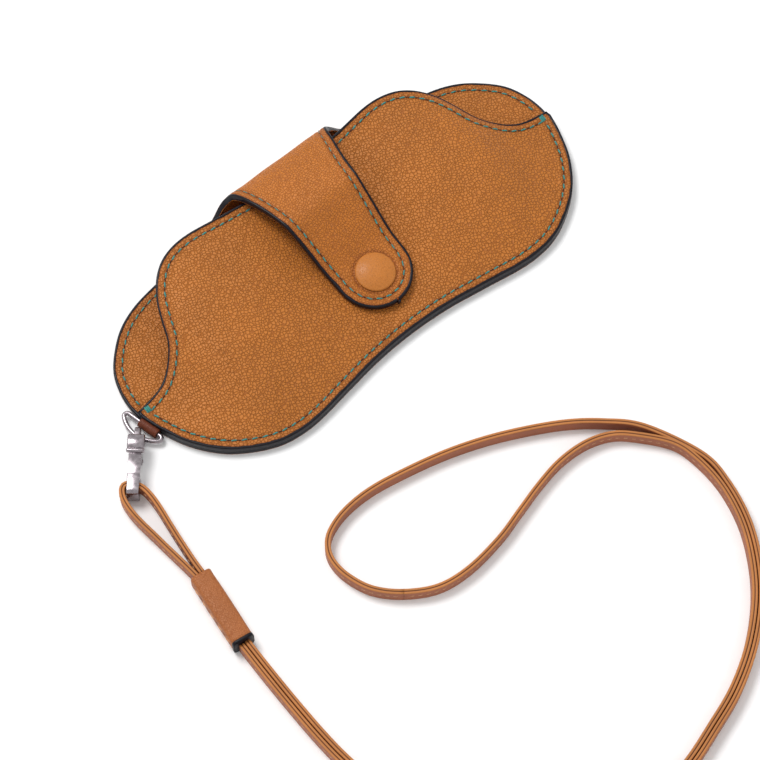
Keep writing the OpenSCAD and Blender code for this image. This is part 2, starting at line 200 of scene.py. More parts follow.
def grid_faces(rows, cols, base=0, flip=False):
    out = []
    for i in range(rows - 1):
        for j in range(cols - 1):
            a, b = base + i * cols + j, base + (i + 1) * cols + j
            out.append((a, a + 1, b + 1, b) if flip else (a, b, b + 1, a + 1))
    return out


def sheet_mesh(high, low):
    """A closed sheet between two grids of points of the same shape."""
    rows, cols = high.shape[:2]
    n = rows * cols
    faces = grid_faces(rows, cols) + grid_faces(rows, cols, n, True)
    ring = [j for j in range(cols)] + [i * cols + cols - 1 for i in range(1, rows)]
    ring += [
        (rows - 1) * cols + j for j in range(cols - 2, -1, -1)
    ] + [i * cols for i in range(rows - 2, 0, -1)]
    faces += [(a, b, b + n, a + n) for a, b in zip(ring, ring[1:] + ring[:1])]
    return np.concatenate([high.reshape(-1, 3), low.reshape(-1, 3)]), faces


def sweep(route, section, side=None, up=None, closed=False, scale=None):
    """A section of (sideways, upward) points carried along a route, with its ends closed."""
    h = headings(route)
    if side is None:
        side = np.stack([h[:, 1], -h[:, 0], np.zeros(len(h))], axis=1)
        side /= np.linalg.norm(side, axis=1)[:, None]
    if up is None:
        up = np.cross(side, h)
    sec = np.array(section, float)
    if sec.ndim == 2:
        sec = np.tile(sec, (len(route), 1, 1))
    if scale is not None:
        sec = sec * scale[:, None, None]
    v = route[:, None, :] + side[:, None, :] * sec[:, :, :1] + up[:, None, :] * sec[:, :, 1:]
    n, m = sec.shape[:2]
    faces = []
    for i in range(n if closed else n - 1):
        for j in range(m):
            a, b = i * m, ((i + 1) % n) * m
            faces.append((a + j, b + j, b + (j + 1) % m, a + (j + 1) % m))
    if not closed:
        faces += [tuple(range(m)), tuple((n - 1) * m + j for j in range(m - 1, -1, -1))]
    return v.reshape(-1, 3), faces


def round_section(r, n=16):
    return [(r * math.cos(2 * math.pi * k / n), r * math.sin(2 * math.pi * k / n)) for k in range(n)]


# %% [markdown]
# ## Materials
# Colours are written as sRGB hex, as a paint chart gives them, and one function turns them to the
# linear values that the renderer adds up. One small function adds a node with its settings and
# links, so that each material below reads as a recipe.


# %% Material helpers
def linear(hex_colour):
    out = []
    for k in (1, 3, 5):
        c = int(hex_colour[k : k + 2], 16) / 255
        out.append(c / 12.92 if c <= 0.04045 else ((c + 0.055) / 1.055) ** 2.4)
    return (*out, 1.0)


def add(tree, kind, settings=None, values=None, links=None, stops=()):
    """Add a node: values sets its inputs, links joins them to other nodes' outputs, stops fill a ramp."""
    node = tree.nodes.new(kind)
    for k, (at, colour) in enumerate(stops):
        stop = node.color_ramp.elements[k] if k < 2 else node.color_ramp.elements.new(at)
        stop.position = at
        stop.color = linear(colour) if isinstance(colour, str) else (colour, colour, colour, 1)
    for key, value in (settings or {}).items():
        setattr(node, key, value)
    for key, value in (values or {}).items():
        node.inputs[key].default_value = value
    for key, output in (links or {}).items():
        tree.links.new(output, node.inputs[key])
    return node


def new_material(name, **shader):
    m = bpy.data.materials.new(name)
    m.use_nodes = True
    tree = m.node_tree
    bsdf = tree.nodes["Principled BSDF"]
    for key, value in shader.items():
        bsdf.inputs[key.replace("_", " ")].default_value = value
    return m, tree, bsdf


# %% [markdown]
# ### Pebbled leather
# Full-grain cowhide, aniline dyed and pressed with a pebble plate, so that its face is a net of
# soft cells about a millimetre across. The colour is darker in the creases between cells, which is
# painted shade, and lighter on the cell tops, which is painted highlight. A cell texture gives the
# pebbles and a fine noise the pores. The edge mark, worked out for each panel, is painted shade: it
# darkens the leather along its rounded edge, its stitch lines and the stud's pressed seat.


# %% Leather
def leather(name, light, dark, cell_mm, relief_mm, pore_mm=0.22, rough=0.5, seed=0.0):
    m, tree, bsdf = new_material(name, Roughness=rough, IOR=1.5, Specular_IOR_Level=0.3)
    where = add(tree, "ShaderNodeTexCoord")
    turned = add(
        tree,
        "ShaderNodeMapping",
        values={"Rotation": (0.3, 0.2, 0.4 + seed)},
        links={"Vector": where.outputs["Object"]},
    )
    bend = add(
        tree,
        "ShaderNodeTexNoise",
        values={"Scale": 0.35 / (cell_mm * MM), "Detail": 2.0},
        links={"Vector": turned.outputs[0]},
    )
    bent = add(
        tree,
        "ShaderNodeMix",
        {"data_type": "VECTOR"},
        {"Factor": 0.0016 * cell_mm},
        {"A": turned.outputs[0], "B": bend.outputs["Color"]},
    )
    cells = add(
        tree,
        "ShaderNodeTexVoronoi",
        {"feature": "DISTANCE_TO_EDGE"},
        {"Scale": 1 / (cell_mm * MM), "Randomness": 0.7},
        {"Vector": bent.outputs["Result"]},
    )
    pores = add(
        tree,
        "ShaderNodeTexNoise",
        values={"Scale": 1 / (pore_mm * MM), "Detail": 3.0, "Roughness": 0.6},
        links={"Vector": where.outputs["Object"]},
    )
    patches = add(
        tree,
        "ShaderNodeTexNoise",
        values={"Scale": 1 / 0.016, "Detail": 4.0},
        links={"Vector": where.outputs["Object"]},
    )
    crease = add(
        tree,
        "ShaderNodeValToRGB",
        links={"Fac": cells.outputs["Distance"]},
        stops=[(0.0, 1.0), (0.14, 0.0)],
    ).outputs[0]
    # Painted shade and highlight: the colour is darker in the creases and lighter on the cell tops.
    crease_shading = add(
        tree,
        "ShaderNodeMix",
        {"data_type": "RGBA"},
        {"A": linear(light), "B": linear(dark)},
        {"Factor": crease},
    )
    mottled = add(
        tree,
        "ShaderNodeMix",
        {"data_type": "RGBA", "blend_type": "MULTIPLY"},
        {"Factor": 0.5},
        {
            "A": crease_shading.outputs["Result"],
            "B": add(
                tree,
                "ShaderNodeValToRGB",
                links={"Fac": patches.outputs["Fac"]},
                stops=[(0.35, 0.78), (0.65, 1.0)],
            ).outputs[0],
        },
    )
    spotted = add(
        tree,
        "ShaderNodeMix",
        {"data_type": "RGBA", "blend_type": "MULTIPLY"},
        {"Factor": 0.35},
        {
            "A": mottled.outputs["Result"],
            "B": add(
                tree,
                "ShaderNodeValToRGB",
                links={"Fac": pores.outputs["Fac"]},
                stops=[(0.36, 0.45), (0.5, 1.0)],
            ).outputs[0],
        },
    )
    # Painted shade: the edge mark darkens the colour along rounded edges, stitch channels and the stud's
    # seat.
    edge = add(tree, "ShaderNodeAttribute", {"attribute_name": "edge_shade_mark"})
    edge_shaded = add(
        tree,
        "ShaderNodeMix",
        {"data_type": "RGBA", "blend_type": "MULTIPLY"},
        {"B": linear("#8A4A24")},
        {"Factor": edge.outputs["Fac"], "A": spotted.outputs["Result"]},
    )
    tree.links.new(edge_shaded.outputs["Result"], bsdf.inputs["Base Color"])
    height = add(
        tree,
        "ShaderNodeMath",
        {"operation": "MULTIPLY_ADD"},
        {1: -1.0},
        {
            0: crease,
            2: add(
                tree, "ShaderNodeMath", {"operation": "MULTIPLY"}, {1: 0.5}, {0: pores.outputs["Fac"]}
            ).outputs[0],
        },
    )
    bump = add(
        tree,
        "ShaderNodeBump",
        values={"Strength": 1.0, "Distance": relief_mm * MM},
        links={"Height": height.outputs[0]},
    )
    tree.links.new(bump.outputs["Normal"], bsdf.inputs["Normal"])
    gloss = add(
        tree, "ShaderNodeValToRGB", links={"Fac": crease}, stops=[(0.0, rough - 0.06), (1.0, rough + 0.14)]
    ).outputs[0]
    tree.links.new(gloss, bsdf.inputs["Roughness"])
    return m


pebbled_cowhide = leather("pebbled_cowhide", "#BE7229", "#A05A1E", 1.0, 0.2)
strap_cowhide = leather("cross_grained_cowhide", "#BE7026", "#A25A1E", 0.85, 0.14, seed=0.9)
lining_calf = leather("smooth_calf_lining", "#B2692E", "#A05A24", 0.5, 0.04, rough=0.56)
polished_calf = leather("polished_calf", "#C47A34", "#B46A26", 0.35, 0.02, pore_mm=0.45, rough=0.36)
# Painted shade: the ring tab's calf is given a dark brown colour for the shadow under the case's edge.
shaded_tab_leather = leather("calf_dark_with_painted_shade", "#6E3218", "#54240F", 0.5, 0.04)
keeper_calf = leather("russet_calf", "#B06A38", "#985428", 0.6, 0.06, rough=0.5)
print("leathers", [m.name for m in bpy.data.materials])

# %% [markdown]
# ### Ribbon leather
# The neck strap is two thin strips of drum-dyed calf glued back to back and cut to width. The knife
# leaves a raw edge, yellow-orange and fibrous, with the glue line as a dark thread along its middle,
# while the faces keep the pinker dye. The edge mark says which part of the section is cut.


# %% Ribbon material
def ribbon_leather():
    m, tree, bsdf = new_material("glued_calf_ribbon", Roughness=0.62, IOR=1.5)
    where = add(tree, "ShaderNodeTexCoord")
    fibres = add(
        tree,
        "ShaderNodeTexNoise",
        values={"Scale": 1 / 0.0004, "Detail": 4.0, "Roughness": 0.7},
        links={"Vector": where.outputs["Object"]},
    )
    patches = add(
        tree,
        "ShaderNodeTexNoise",
        values={"Scale": 1 / 0.012, "Detail": 2.0},
        links={"Vector": where.outputs["Object"]},
    )
    face = add(
        tree,
        "ShaderNodeMix",
        {"data_type": "RGBA"},
        {"A": linear("#8A4A2E"), "B": linear("#A8643F")},
        {"Factor": fibres.outputs["Fac"]},
    )
    cut = add(
        tree,
        "ShaderNodeMix",
        {"data_type": "RGBA"},
        {"A": linear("#A8602A"), "B": linear("#C68440")},
        {"Factor": fibres.outputs["Fac"]},
    )
    raw = add(tree, "ShaderNodeAttribute", {"attribute_name": "raw_edge"})
    glue = add(tree, "ShaderNodeAttribute", {"attribute_name": "glue_line"})
    both = add(
        tree,
        "ShaderNodeMix",
        {"data_type": "RGBA"},
        links={"Factor": raw.outputs["Fac"], "A": face.outputs["Result"], "B": cut.outputs["Result"]},
    )
    lined = add(
        tree,
        "ShaderNodeMix",
        {"data_type": "RGBA"},
        {"B": linear("#5A2A14")},
        {"Factor": glue.outputs["Fac"], "A": both.outputs["Result"]},
    )
    mottled = add(
        tree,
        "ShaderNodeMix",
        {"data_type": "RGBA", "blend_type": "MULTIPLY"},
        {"Factor": 0.6},
        {
            "A": lined.outputs["Result"],
            "B": add(
                tree,
                "ShaderNodeValToRGB",
                links={"Fac": patches.outputs["Fac"]},
                stops=[(0.35, 0.8), (0.65, 1.0)],
            ).outputs[0],
        },
    )
    tree.links.new(mottled.outputs["Result"], bsdf.inputs["Base Color"])
    bump = add(
        tree,
        "ShaderNodeBump",
        values={"Strength": 0.6, "Distance": 0.05 * MM},
        links={"Height": fibres.outputs["Fac"]},
    )
    tree.links.new(bump.outputs["Normal"], bsdf.inputs["Normal"])
    return m


calf_ribbon = ribbon_leather()

# %% [markdown]
# ### Thread, edge paint and plate
# The thread is waxed polyester, laid up in plies, so a fine wave crosses it. The edges are sealed
# with coats of near-black edge paint that dry to a soft sheen. The hardware is zinc alloy, tumbled
# smooth and plated with nickel, whose fine haze keeps its highlights soft.


# %% Thread, paint and nickel
def speckled(name, grain, colours, detail=2.0, rough=None, bump_strength=0.0, bump_mm=0.0, **shader):
    """A material whose colour, gloss and relief all follow one fine noise, with grain as its size."""
    m, tree, bsdf = new_material(name, **shader)
    where = add(tree, "ShaderNodeTexCoord")
    specks = add(
        tree,
        "ShaderNodeTexNoise",
        values={"Scale": 1 / grain, "Detail": detail},
        links={"Vector": where.outputs["Object"]},
    )
    fac = {"Fac": specks.outputs["Fac"]}
    colour = add(tree, "ShaderNodeValToRGB", links=fac, stops=colours)
    tree.links.new(colour.outputs[0], bsdf.inputs["Base Color"])
    if rough:
        gloss = add(tree, "ShaderNodeValToRGB", links=fac, stops=rough)
        tree.links.new(gloss.outputs[0], bsdf.inputs["Roughness"])
    if bump_strength:
        relief = {"Strength": bump_strength, "Distance": bump_mm * MM}
        bump = add(tree, "ShaderNodeBump", values=relief, links={"Height": specks.outputs["Fac"]})
        tree.links.new(bump.outputs["Normal"], bsdf.inputs["Normal"])
    return m


def thread(name, light, dark):
    return speckled(
        name, 0.0003, [(0.35, dark), (0.6, light)],
        bump_strength=0.7, bump_mm=0.04, Roughness=0.55, Sheen_Weight=0.2,
    )


teal_polyester = thread("teal_waxed_polyester", "#2E8F84", "#145F5E")
cream_polyester = thread("cream_waxed_polyester", "#D2A078", "#A87048")
edge_paint = speckled(
    "black_edge_paint", 0.0009, [(0.3, "#08060A"), (0.7, "#15111C")],
    detail=3.0, rough=[(0.3, 0.3), (0.7, 0.5)], bump_strength=0.5, bump_mm=0.05,
    IOR=1.5, Specular_IOR_Level=0.2, Coat_Weight=0.04, Coat_Roughness=0.2,
)
bright_nickel = speckled(
    "bright_nickel_plate", 0.0012, [(0.3, "#8E868A"), (0.7, "#A59DA1")],
    detail=3.0, rough=[(0.3, 0.2), (0.7, 0.3)], bump_strength=0.15, bump_mm=0.03, Metallic=1.0,
)
# Painted shadow: a near-black colour for the awl slits, standing in for the shade inside the holes.
painted_awl_shadow = speckled("awl_hole_shadow", 0.0005, [(0.3, "#1C0E08"), (0.7, "#3A2013")], Roughness=0.8)

# %% [markdown]
# ## Neck strap
# The ribbon lies on its edge, so its section is tall and narrow: two strips side by side with a
# slight groove where they are glued. One closed loop of it starts and ends in the keeper. It is made
# as two strands that meet at the far end of the loop, from one smooth route so that no kink shows.

# %% Ribbon section
RIBBON_W = 5.0
RIBBON_T = 1.8
STRAND_GAP = 0.3
RIBBON_Z = RIBBON_W / 2 + 0.05


def ribbon_section():
    t, w = RIBBON_T / 2, RIBBON_W / 2
    top = [
        (-t, w - 0.28),
        (-t + 0.1, w - 0.07),
        (-t + 0.3, w),
        (-0.24, w - 0.02),
        (-0.07, w - 0.16),
        (0, w - 0.26),
    ]
    top += [(-x, z) for x, z in reversed(top[:-1])]
    face = [(t, w * f) for f in (0.6, 0.2, -0.2, -0.6)]
    bottom = [(x, -z) for x, z in reversed(top)]
    back = [(-t, -w * f) for f in (0.6, 0.2, -0.2, -0.6)]
    return top + face + bottom + back


SECTION = ribbon_section()


def section_marks(rings):
    """Which points of the ribbon are on its cut edge, and which on the glue line."""
    raw = [1.0 if abs(z) > RIBBON_W / 2 - 0.2 else 0.0 for x, z in SECTION]
    glue = [1.0 if abs(x) < 0.1 else 0.0 for x, z in SECTION]
    return {"raw_edge": raw * rings, "glue_line": glue * rings}


def ribbon(name, route):
    verts, faces = sweep(route, SECTION, up=np.tile([0, 0, 1.0], (len(route), 1)))
    return piece(name, verts, faces, calf_ribbon, marks=section_marks(len(route)))


# %% Routes, in millimetres, as the solid tubes have them
RUN = [
    (-107, -80.5), (-107.6, -93), (-108, -107), (-108, -119), (-107.4, -129), (-105.4, -145),
    (-100, -162), (-89, -178), (-73, -189), (-55, -194.5), (-42, -195.3), (-30, -193.5),
    (-18, -190), (-5, -185.6), (8, -178.6), (19.5, -169.4), (28, -159.3), (34.6, -147.6),
    (38.3, -134.8), (38.7, -122.8), (36.6, -113.8),
]
OUTER = [
    (32.6, -104.6), (24, -95), (13, -86.6), (-3.7, -77.8), (-19, -72), (-34.4, -68.2),
    (-46.5, -66.3), (-56.7, -66.7), (-64.4, -69.2), (-68.4, -73), (-70, -78), (-69.4, -84.4),
    (-66.4, -91.8), (-60, -98.6),
]
INNER = [
    (28.4, -104.6), (22.6, -99.6), (14.6, -96.8), (4.7, -96.4), (-5.4, -98.2), (-15.8, -101),
    (-26.3, -103.8), (-39.7, -105.4), (-50.7, -104), (-60, -98.6),
]
HOOK_LOOP = [
    (-104.5, -54.9), (-104.8, -50), (-105.4, -43), (-106, -36), (-106.6, -30), (-106.7, -25),
    (-106, -20.6), (-104.4, -17.8), (-102.6, -17.2), (-100.5, -18.9), (-99.2, -21.4),
    (-98.9, -25), (-99.3, -30), (-100.2, -36), (-101.2, -43), (-102.1, -50), (-102.5, -54.9),
]
STRAND_STEP = (RIBBON_T + STRAND_GAP) / 2
CURVE_STEPS = 12

outer_ctrl = list(map(tuple, beside(RUN, -STRAND_STEP)[:20])) + OUTER
inner_ctrl = list(map(tuple, beside(RUN, STRAND_STEP)[:21])) + INNER
whole_loop = curve(outer_ctrl + inner_ctrl[::-1][1:], CURVE_STEPS)
far_end = (len(outer_ctrl) - 1) * CURVE_STEPS


def lifted(flat, z):
    return np.column_stack([flat, np.full(len(flat), z) if np.isscalar(z) else z])


outer_route = lifted(even(whole_loop[: far_end + 1], 1.2), RIBBON_Z)
inner_route = lifted(even(whole_loop[far_end:][::-1], 1.2), RIBBON_Z)
loop_flat = even(curve(HOOK_LOOP, CURVE_STEPS), 0.8)
EYE_LIFT = 1.0
loop_route = lifted(loop_flat, RIBBON_Z + EYE_LIFT * np.clip((loop_flat[:, 1] + 40) / 14, 0, 1))
print(
    "strands",
    round(running(outer_route)[-1], 1),
    round(running(inner_route)[-1], 1),
    "hook loop",
    round(running(loop_route)[-1], 1),
)

# %% Ribbons
neck_outer = ribbon("neck_strap_outer_ribbon", outer_route)
neck_inner = ribbon("neck_strap_inner_ribbon", inner_route)
hook_loop = ribbon("hook_loop_ribbon", loop_route)
for strap, node in (
    (neck_outer, "neck_strap_outer"),
    (neck_inner, "neck_strap_inner"),
    (hook_loop, "hook_loop"),
):
    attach(strap, "lanyard")
    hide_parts(node)

# %% [markdown]
# ## Stitches
# Saddle stitching shows as short slanted dashes with an awl hole at each end, where the thread
# dives back through the leather. Each dash is a small three-ply capsule whose ends sink, and the gap
# between dashes is a narrow pressed slit, coloured near-black as painted shadow for the holes.


# %% Stitch helpers
def stitch_mesh(a, b, up, r, turns=1.4, sink=0.9):
    """One dash of laid thread from a to b, arched over the leather."""
    a, b, up = np.array(a, float), np.array(b, float), unit(up)
    along = unit(b - a)
    side = np.cross(up, along)
    length = np.linalg.norm(b - a)
    rings, sides = 9, 9
    verts, faces = [], []
    for i in range(rings):
        t = i / (rings - 1)
        arch = math.sin(math.pi * t) ** 0.5
        fat = r * (0.35 + 0.65 * arch)
        middle = a + along * length * t + up * (r * sink * (arch - 0.75))
        for j in range(sides):
            w = 2 * math.pi * j / sides
            ply = 1 + 0.13 * math.cos(3 * (w - 2 * math.pi * turns * t / 3))
            verts.append(middle + (side * math.cos(w) + up * math.sin(w)) * fat * ply)
    faces += [
        (
            i * sides + j,
            (i + 1) * sides + j,
            (i + 1) * sides + (j + 1) % sides,
            i * sides + (j + 1) % sides,
        ) for i in range(rings - 1) for j in range(sides)
    ]
    faces += [tuple(range(sides - 1, -1, -1)), tuple((rings - 1) * sides + j for j in range(sides))]
    return verts, faces


def slit_mesh(a, b, up, half_w, proud=0.03):
    """A narrow lens-shaped slit pressed into the leather from a to b."""
    a, b, up = np.array(a, float), np.array(b, float), unit(up)
    along = unit(b - a)
    side = np.cross(up, along)
    middle = (a + b) / 2
    half = np.linalg.norm(b - a) / 2
    n = 10
    rim = [
        middle + along * half * math.cos(
            2 * math.pi * k / n
        ) + side * half_w * math.sin(2 * math.pi * k / n) for k in range(n)
    ]
    verts = [middle + up * proud] + [v + up * proud * 0.4 for v in rim] + [middle - up * 0.15]
    faces = [(0, 1 + k, 1 + (k + 1) % n) for k in range(n)] + [
        (n + 1, 1 + (k + 1) % n, 1 + k) for k in range(n)
    ]
    return verts, faces


def stitch_line(
    name, line, ups, material, body,
    r=0.27, pitch=3.2, dash=1.9, slant=0.12, nodes=(), holes=True,
):
    """Dashes and slits along a line of points with its up directions."""
    run = running(line)
    count = int(run[-1] // pitch)
    step = run[-1] / count
    dashes, slits = [], []
    for k in range(count):
        ends = [(k + 0.5) * step - dash / 2, (k + 0.5) * step + dash / 2, (k + 1.5) * step - dash / 2]
        (a, b, c), (ua, ub, _) = spaced(line, ends), spaced(ups, ends)
        up = unit(ua + ub)
        across = np.cross(up, unit(b - a)) * slant
        wander = random.uniform(-0.06, 0.06)
        dashes.append(stitch_mesh(a - across * (1 + wander), b + across * (1 - wander), up, r))
        if k < count - 1:
            slits.append(slit_mesh(b, c, up, r * 0.62))
    sewn = piece(name, *join_parts(dashes), material)
    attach(sewn, body)
    if nodes:
        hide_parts(*nodes)
    if holes:
        # The slits are coloured near-black, painted shadow of the awl holes.
        gaps = piece(name + "_awl_slits", *join_parts(slits), painted_awl_shadow)
        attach(gaps, body)
    return sewn


def ribbon_stitches(name, route, side_sign):
    side = np.cross(headings(route), [0, 0, 1.0]) * side_sign
    line = route + side * (RIBBON_T / 2) + np.array([0, 0, 0.55])
    return stitch_line(
        name,
        line,
        side,
        cream_polyester,
        "lanyard",
        r=0.16,
        pitch=2.5,
        dash=1.5,
        slant=0.04,
        holes=False,
    )


ribbon_sewing = [
    ribbon_stitches("hook_loop_stitches_out", loop_route[3:-3], -1),
    ribbon_stitches("hook_loop_stitches_in", loop_route[3:-3], 1),
    ribbon_stitches("neck_stitches_outer_a", outer_route[2:-1], 1),
    ribbon_stitches("neck_stitches_inner_a", inner_route[2:-1], -1),
]

# %% [markdown]
# ## Keeper
# A strip of calf wraps the four strands where they meet and is sewn down one side. It is a little
# fuller in its middle, and its lower end is painted black like the case's edges.

# %% Keeper
KEEPER_FROM = np.array([-103.5, -55.0])
KEEPER_TO = np.array([-107.0, -80.4])
KEEPER_W = 7.0
KEEPER_H = 6.6


def rounded_box_section(w, h, r, n=5):
    out = []
    x, z = w / 2 - r, h / 2 - r
    for cx, cz, start in ((x, z, 0), (-x, z, 90), (-x, -z, 180), (x, -z, 270)):
        for k in range(n + 1):
            a = math.radians(start + 90 * k / n)
            out.append((cx + r * math.cos(a), cz + r * math.sin(a)))
    return out


keeper_len = np.linalg.norm(KEEPER_TO - KEEPER_FROM)
keeper_dir = (KEEPER_TO - KEEPER_FROM) / keeper_len


def along_keeper(stops, z=KEEPER_H / 2 + 0.05):
    return np.array([[*(KEEPER_FROM + keeper_dir * s), z] for s in stops])


KEEPER_STOPS = [0, 0.05, 0.35, 0.9, 2, 5, 9, 13, 17, 21, 23.6, 24.8]
KEEPER_FULL = np.array([0.8, 0.93, 0.985, 0.99, 0.975, 0.985, 1.0, 1.0, 1.0, 0.985, 0.98, 0.98])
sleeve = piece(
    "keeper_sleeve",
    *sweep(along_keeper(KEEPER_STOPS), rounded_box_section(KEEPER_W, KEEPER_H, 1.3), scale=KEEPER_FULL),
    keeper_calf,
)
band_stops = [24.4, 24.45, 24.8, 25.6, keeper_len - 0.12, keeper_len]
band = piece(
    "keeper_painted_end",
    *sweep(
        along_keeper(band_stops),
        rounded_box_section(KEEPER_W, KEEPER_H, 1.3),
        scale=np.array([0.96, 1.0, 1.01, 1.01, 0.98, 0.9]),
    ),
    edge_paint,
)
keeper_side = np.array([keeper_dir[1], -keeper_dir[0], 0])
keeper_line = along_keeper(np.linspace(1.8, 24, 12), KEEPER_H / 2 + 0.2) + keeper_side * (KEEPER_W / 2)
keeper_sewing = stitch_line(
    "keeper_stitches",
    keeper_line,
    np.tile(keeper_side, (12, 1)),
    cream_polyester,
    "lanyard",
    r=0.32,
    pitch=3.7,
    dash=2.4,
    slant=0.2,
    nodes=("keeper_thread",),
)
for part, slot_name in ((sleeve, "ribbon_leather"), (band, "edge_paint")):
    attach(part, "lanyard")
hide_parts("keeper")


# %% [markdown]
# ## The case's surfaces
# Two grids of points carry the leather. The front panel runs in columns from the sewn lower edge to
# the mouth, and lifts off the back panel in a rounded hump on each side of the strap. The back panel
# and the strap are one cut of leather, so they are one mesh that bends over at the fold.

# %% Outlines of the cut leather
LOW_HALF = [
    (84.5, -1.5), (82.5, -8.5), (78.5, -17.8), (72, -26.4), (64, -32.3), (56, -35.9),
    (48, -37.1), (40, -36.7), (28, -34.8), (14, -32.8), (0, -32.1),
]
LOBE = [
    (84.5, -1.5), (84.8, 3.5), (84, 9.5), (81.4, 16.4), (76.5, 22.3), (70, 27.5), (62, 30.9),
    (52, 32.8), (42, 33.8),
]
MOUTH_HALF = [
    (84.2, 0.3), (75, 1.8), (69, 5.2), (63.6, 11), (60.5, 18), (57.5, 24.2),
    (52.5, 30.2), (46, 34), (37, 35.2), (22, 33.4), (0, 31.5),
]
PANEL_T = 2.1
SEAM_T = 2 * PANEL_T
SEAM_MARGIN = 4.0
STITCH_INSET = 2.8
STRAP_X = 1.8
ROOT_Y = 35.2
ROOT_HALF = 30.8
STUD_AT = np.array([STRAP_X, -11.5, 9.15])
STUD_TILT = math.radians(10)


def mirrored(p):
    return [(-x, y) for x, y in p[::-1]]


def whole(p):
    return p[:-1] + mirrored(p)


low_edge = curve(whole(LOW_HALF), 12)
mouth_edge = curve(whole(MOUTH_HALF), 12)


def lift(x, t):
    """Height of the pocket, t of the way from the sewn margin to the mouth."""
    hump = 9.5 * (1 - (1 - t) ** 2) / (1 + (np.abs(x) / 63) ** 14)
    return hump * (1 - 0.9 * np.exp(-(((x - STRAP_X) / 20) ** 2)) * np.sqrt(1 - t))


def row_places(n):
    """Places of n + 1 rows from 0 to 1, closer together at both ends."""
    u = np.linspace(0, 1, n + 1)
    return u - 0.08 * np.sin(2 * math.pi * u)


# %% [markdown]
# ### Relief
# A sewn leather edge isn't flat. The stitches pull a narrow channel, the edge is rounded over and
# burnished, and the hide keeps a slight unevenness. Distances to the edge and to the stitch lines
# give all three, and the same distances are kept as the edge mark, painted shade that darkens the
# leather there.


# %% Relief helpers
def distances(points, lines):
    """Distance from each point to the nearest of several dense lines."""
    dense = np.concatenate([even(line, 0.2) for line in lines])
    tree = KDTree(len(dense))
    for i, q in enumerate(dense):
        tree.insert(q, i)
    tree.balance()
    return np.array([tree.find(q)[2] for q in points.reshape(-1, 3)]).reshape(points.shape[:-1])


def unevenness(points, amount, size):
    return np.array(
        [noise.noise(Vector(q) / size) for q in points.reshape(-1, 3)]
    ).reshape(points.shape[:-1]) * amount


def relief(to_edge, to_stitches, uneven):
    """How far the leather's face moves out, and its edge mark of painted shade."""
    roll = 0.28 * np.clip(1 - to_edge / 1.5, 0, 1) ** 2 + 0.35 * np.clip(1 - to_edge / 0.55, 0, 1)
    channel = 0.16 * np.exp(-((to_stitches / 0.42) ** 2))
    swell = 0.07 * np.exp(-(((to_stitches - 1.2) / 0.6) ** 2))
    # The mark is painted shade: darker close to the rounded edge and along the stitch channels.
    mark = 0.75 * np.exp(-((to_edge / 1.0) ** 2)) + 0.45 * np.exp(-((to_stitches / 0.6) ** 2))
    return swell - roll - channel + uneven * np.clip(to_edge / 6, 0, 1), np.clip(mark, 0, 1)


def painted_bead(name, outer, inner, inside, joint, body_calls):
    """Edge paint round a closed sheet.

    outer and inner are the edge's two faces, and joint is 0 to 1 where another layer meets it.
    """
    middle = (outer + inner) / 2
    closed = np.concatenate([middle[-1:], middle, middle[:1]])
    h = closed[2:] - closed[:-2]
    h /= np.linalg.norm(h, axis=1)[:, None]
    up = (inner - outer) / PANEL_T
    out = np.cross(up, h)
    out /= np.linalg.norm(out, axis=1)[:, None]
    facing = np.sum(out * (middle - inside), axis=1)
    out *= np.where(facing < 0, -1, 1)[:, None]
    sections = []
    for k in range(len(middle)):
        lip = 0.85 + 0.25 * noise.noise(Vector(middle[k]) / 2.5)
        r0, r1 = 0.42 + (0.1 - 0.42) * joint[0][k], 0.42 + (0.1 - 0.42) * joint[1][k]
        arc0 = [(-r0 + r0 * math.sin(a), r0 - r0 * math.cos(a)) for a in np.linspace(0, math.pi / 2, 5)]
        arc1 = [
            (
                -r1 + r1 * math.cos(a), PANEL_T - r1 + r1 * math.sin(a)
            ) for a in np.linspace(0, math.pi / 2, 5)
        ]
        flat = [(-lip, 0.06), (-lip + 0.1, -0.03)] + arc0 + [(0.03, PANEL_T / 2)] + arc1
        flat += [(-lip + 0.1, PANEL_T + 0.03), (-lip, PANEL_T - 0.08)]
        sections.append([(s + 0.06, v) for s, v in flat])
    verts, faces = sweep(middle - up * (PANEL_T / 2), np.array(sections), side=out, up=up, closed=True)
    verts[:, 2] = np.maximum(verts[:, 2], 0.0)
    bead = piece(name, verts, faces, edge_paint)
    body_calls(bead)
    return bead


# %% [markdown]
# ### Front panel
# The panel is the real one's cut pulled up at the mouth: flat where it is sewn, then swelling. Its
# stitch lines are drawn in plan and dropped onto it, so that they lie on the humps.

# %% Front panel
FRONT_ROWS = 88
f = row_places(FRONT_ROWS)
plan = low_edge[:, None, :] + (mouth_edge - low_edge)[:, None, :] * f[None, :, None]
column = np.linalg.norm(mouth_edge - low_edge, axis=1)[:, None]
opened = np.clip((column * f[None, :] - SEAM_MARGIN) / np.maximum(column - SEAM_MARGIN, 1), 0, 1)
rise = lift(plan[:, :, 0], opened)
front_high = np.dstack([plan, SEAM_T + rise])
front_low = np.dstack([plan, PANEL_T + rise])
bare_verts, bare_faces = sheet_mesh(front_high, front_low)
front_shape = BVHTree.FromPolygons([tuple(v) for v in bare_verts], bare_faces)


def dropped(line):
    """A flat line laid on the front panel, with the panel's direction under it."""
    spots, ups = [], []
    for x, y in line:
        hit, normal, _, _ = front_shape.ray_cast(Vector((x, y, 60)), Vector((0, 0, -1)))
        if hit is not None:
            spots.append(hit)
            ups.append(normal if normal.z > 0 else -normal)
    return np.array(spots), np.array(ups)


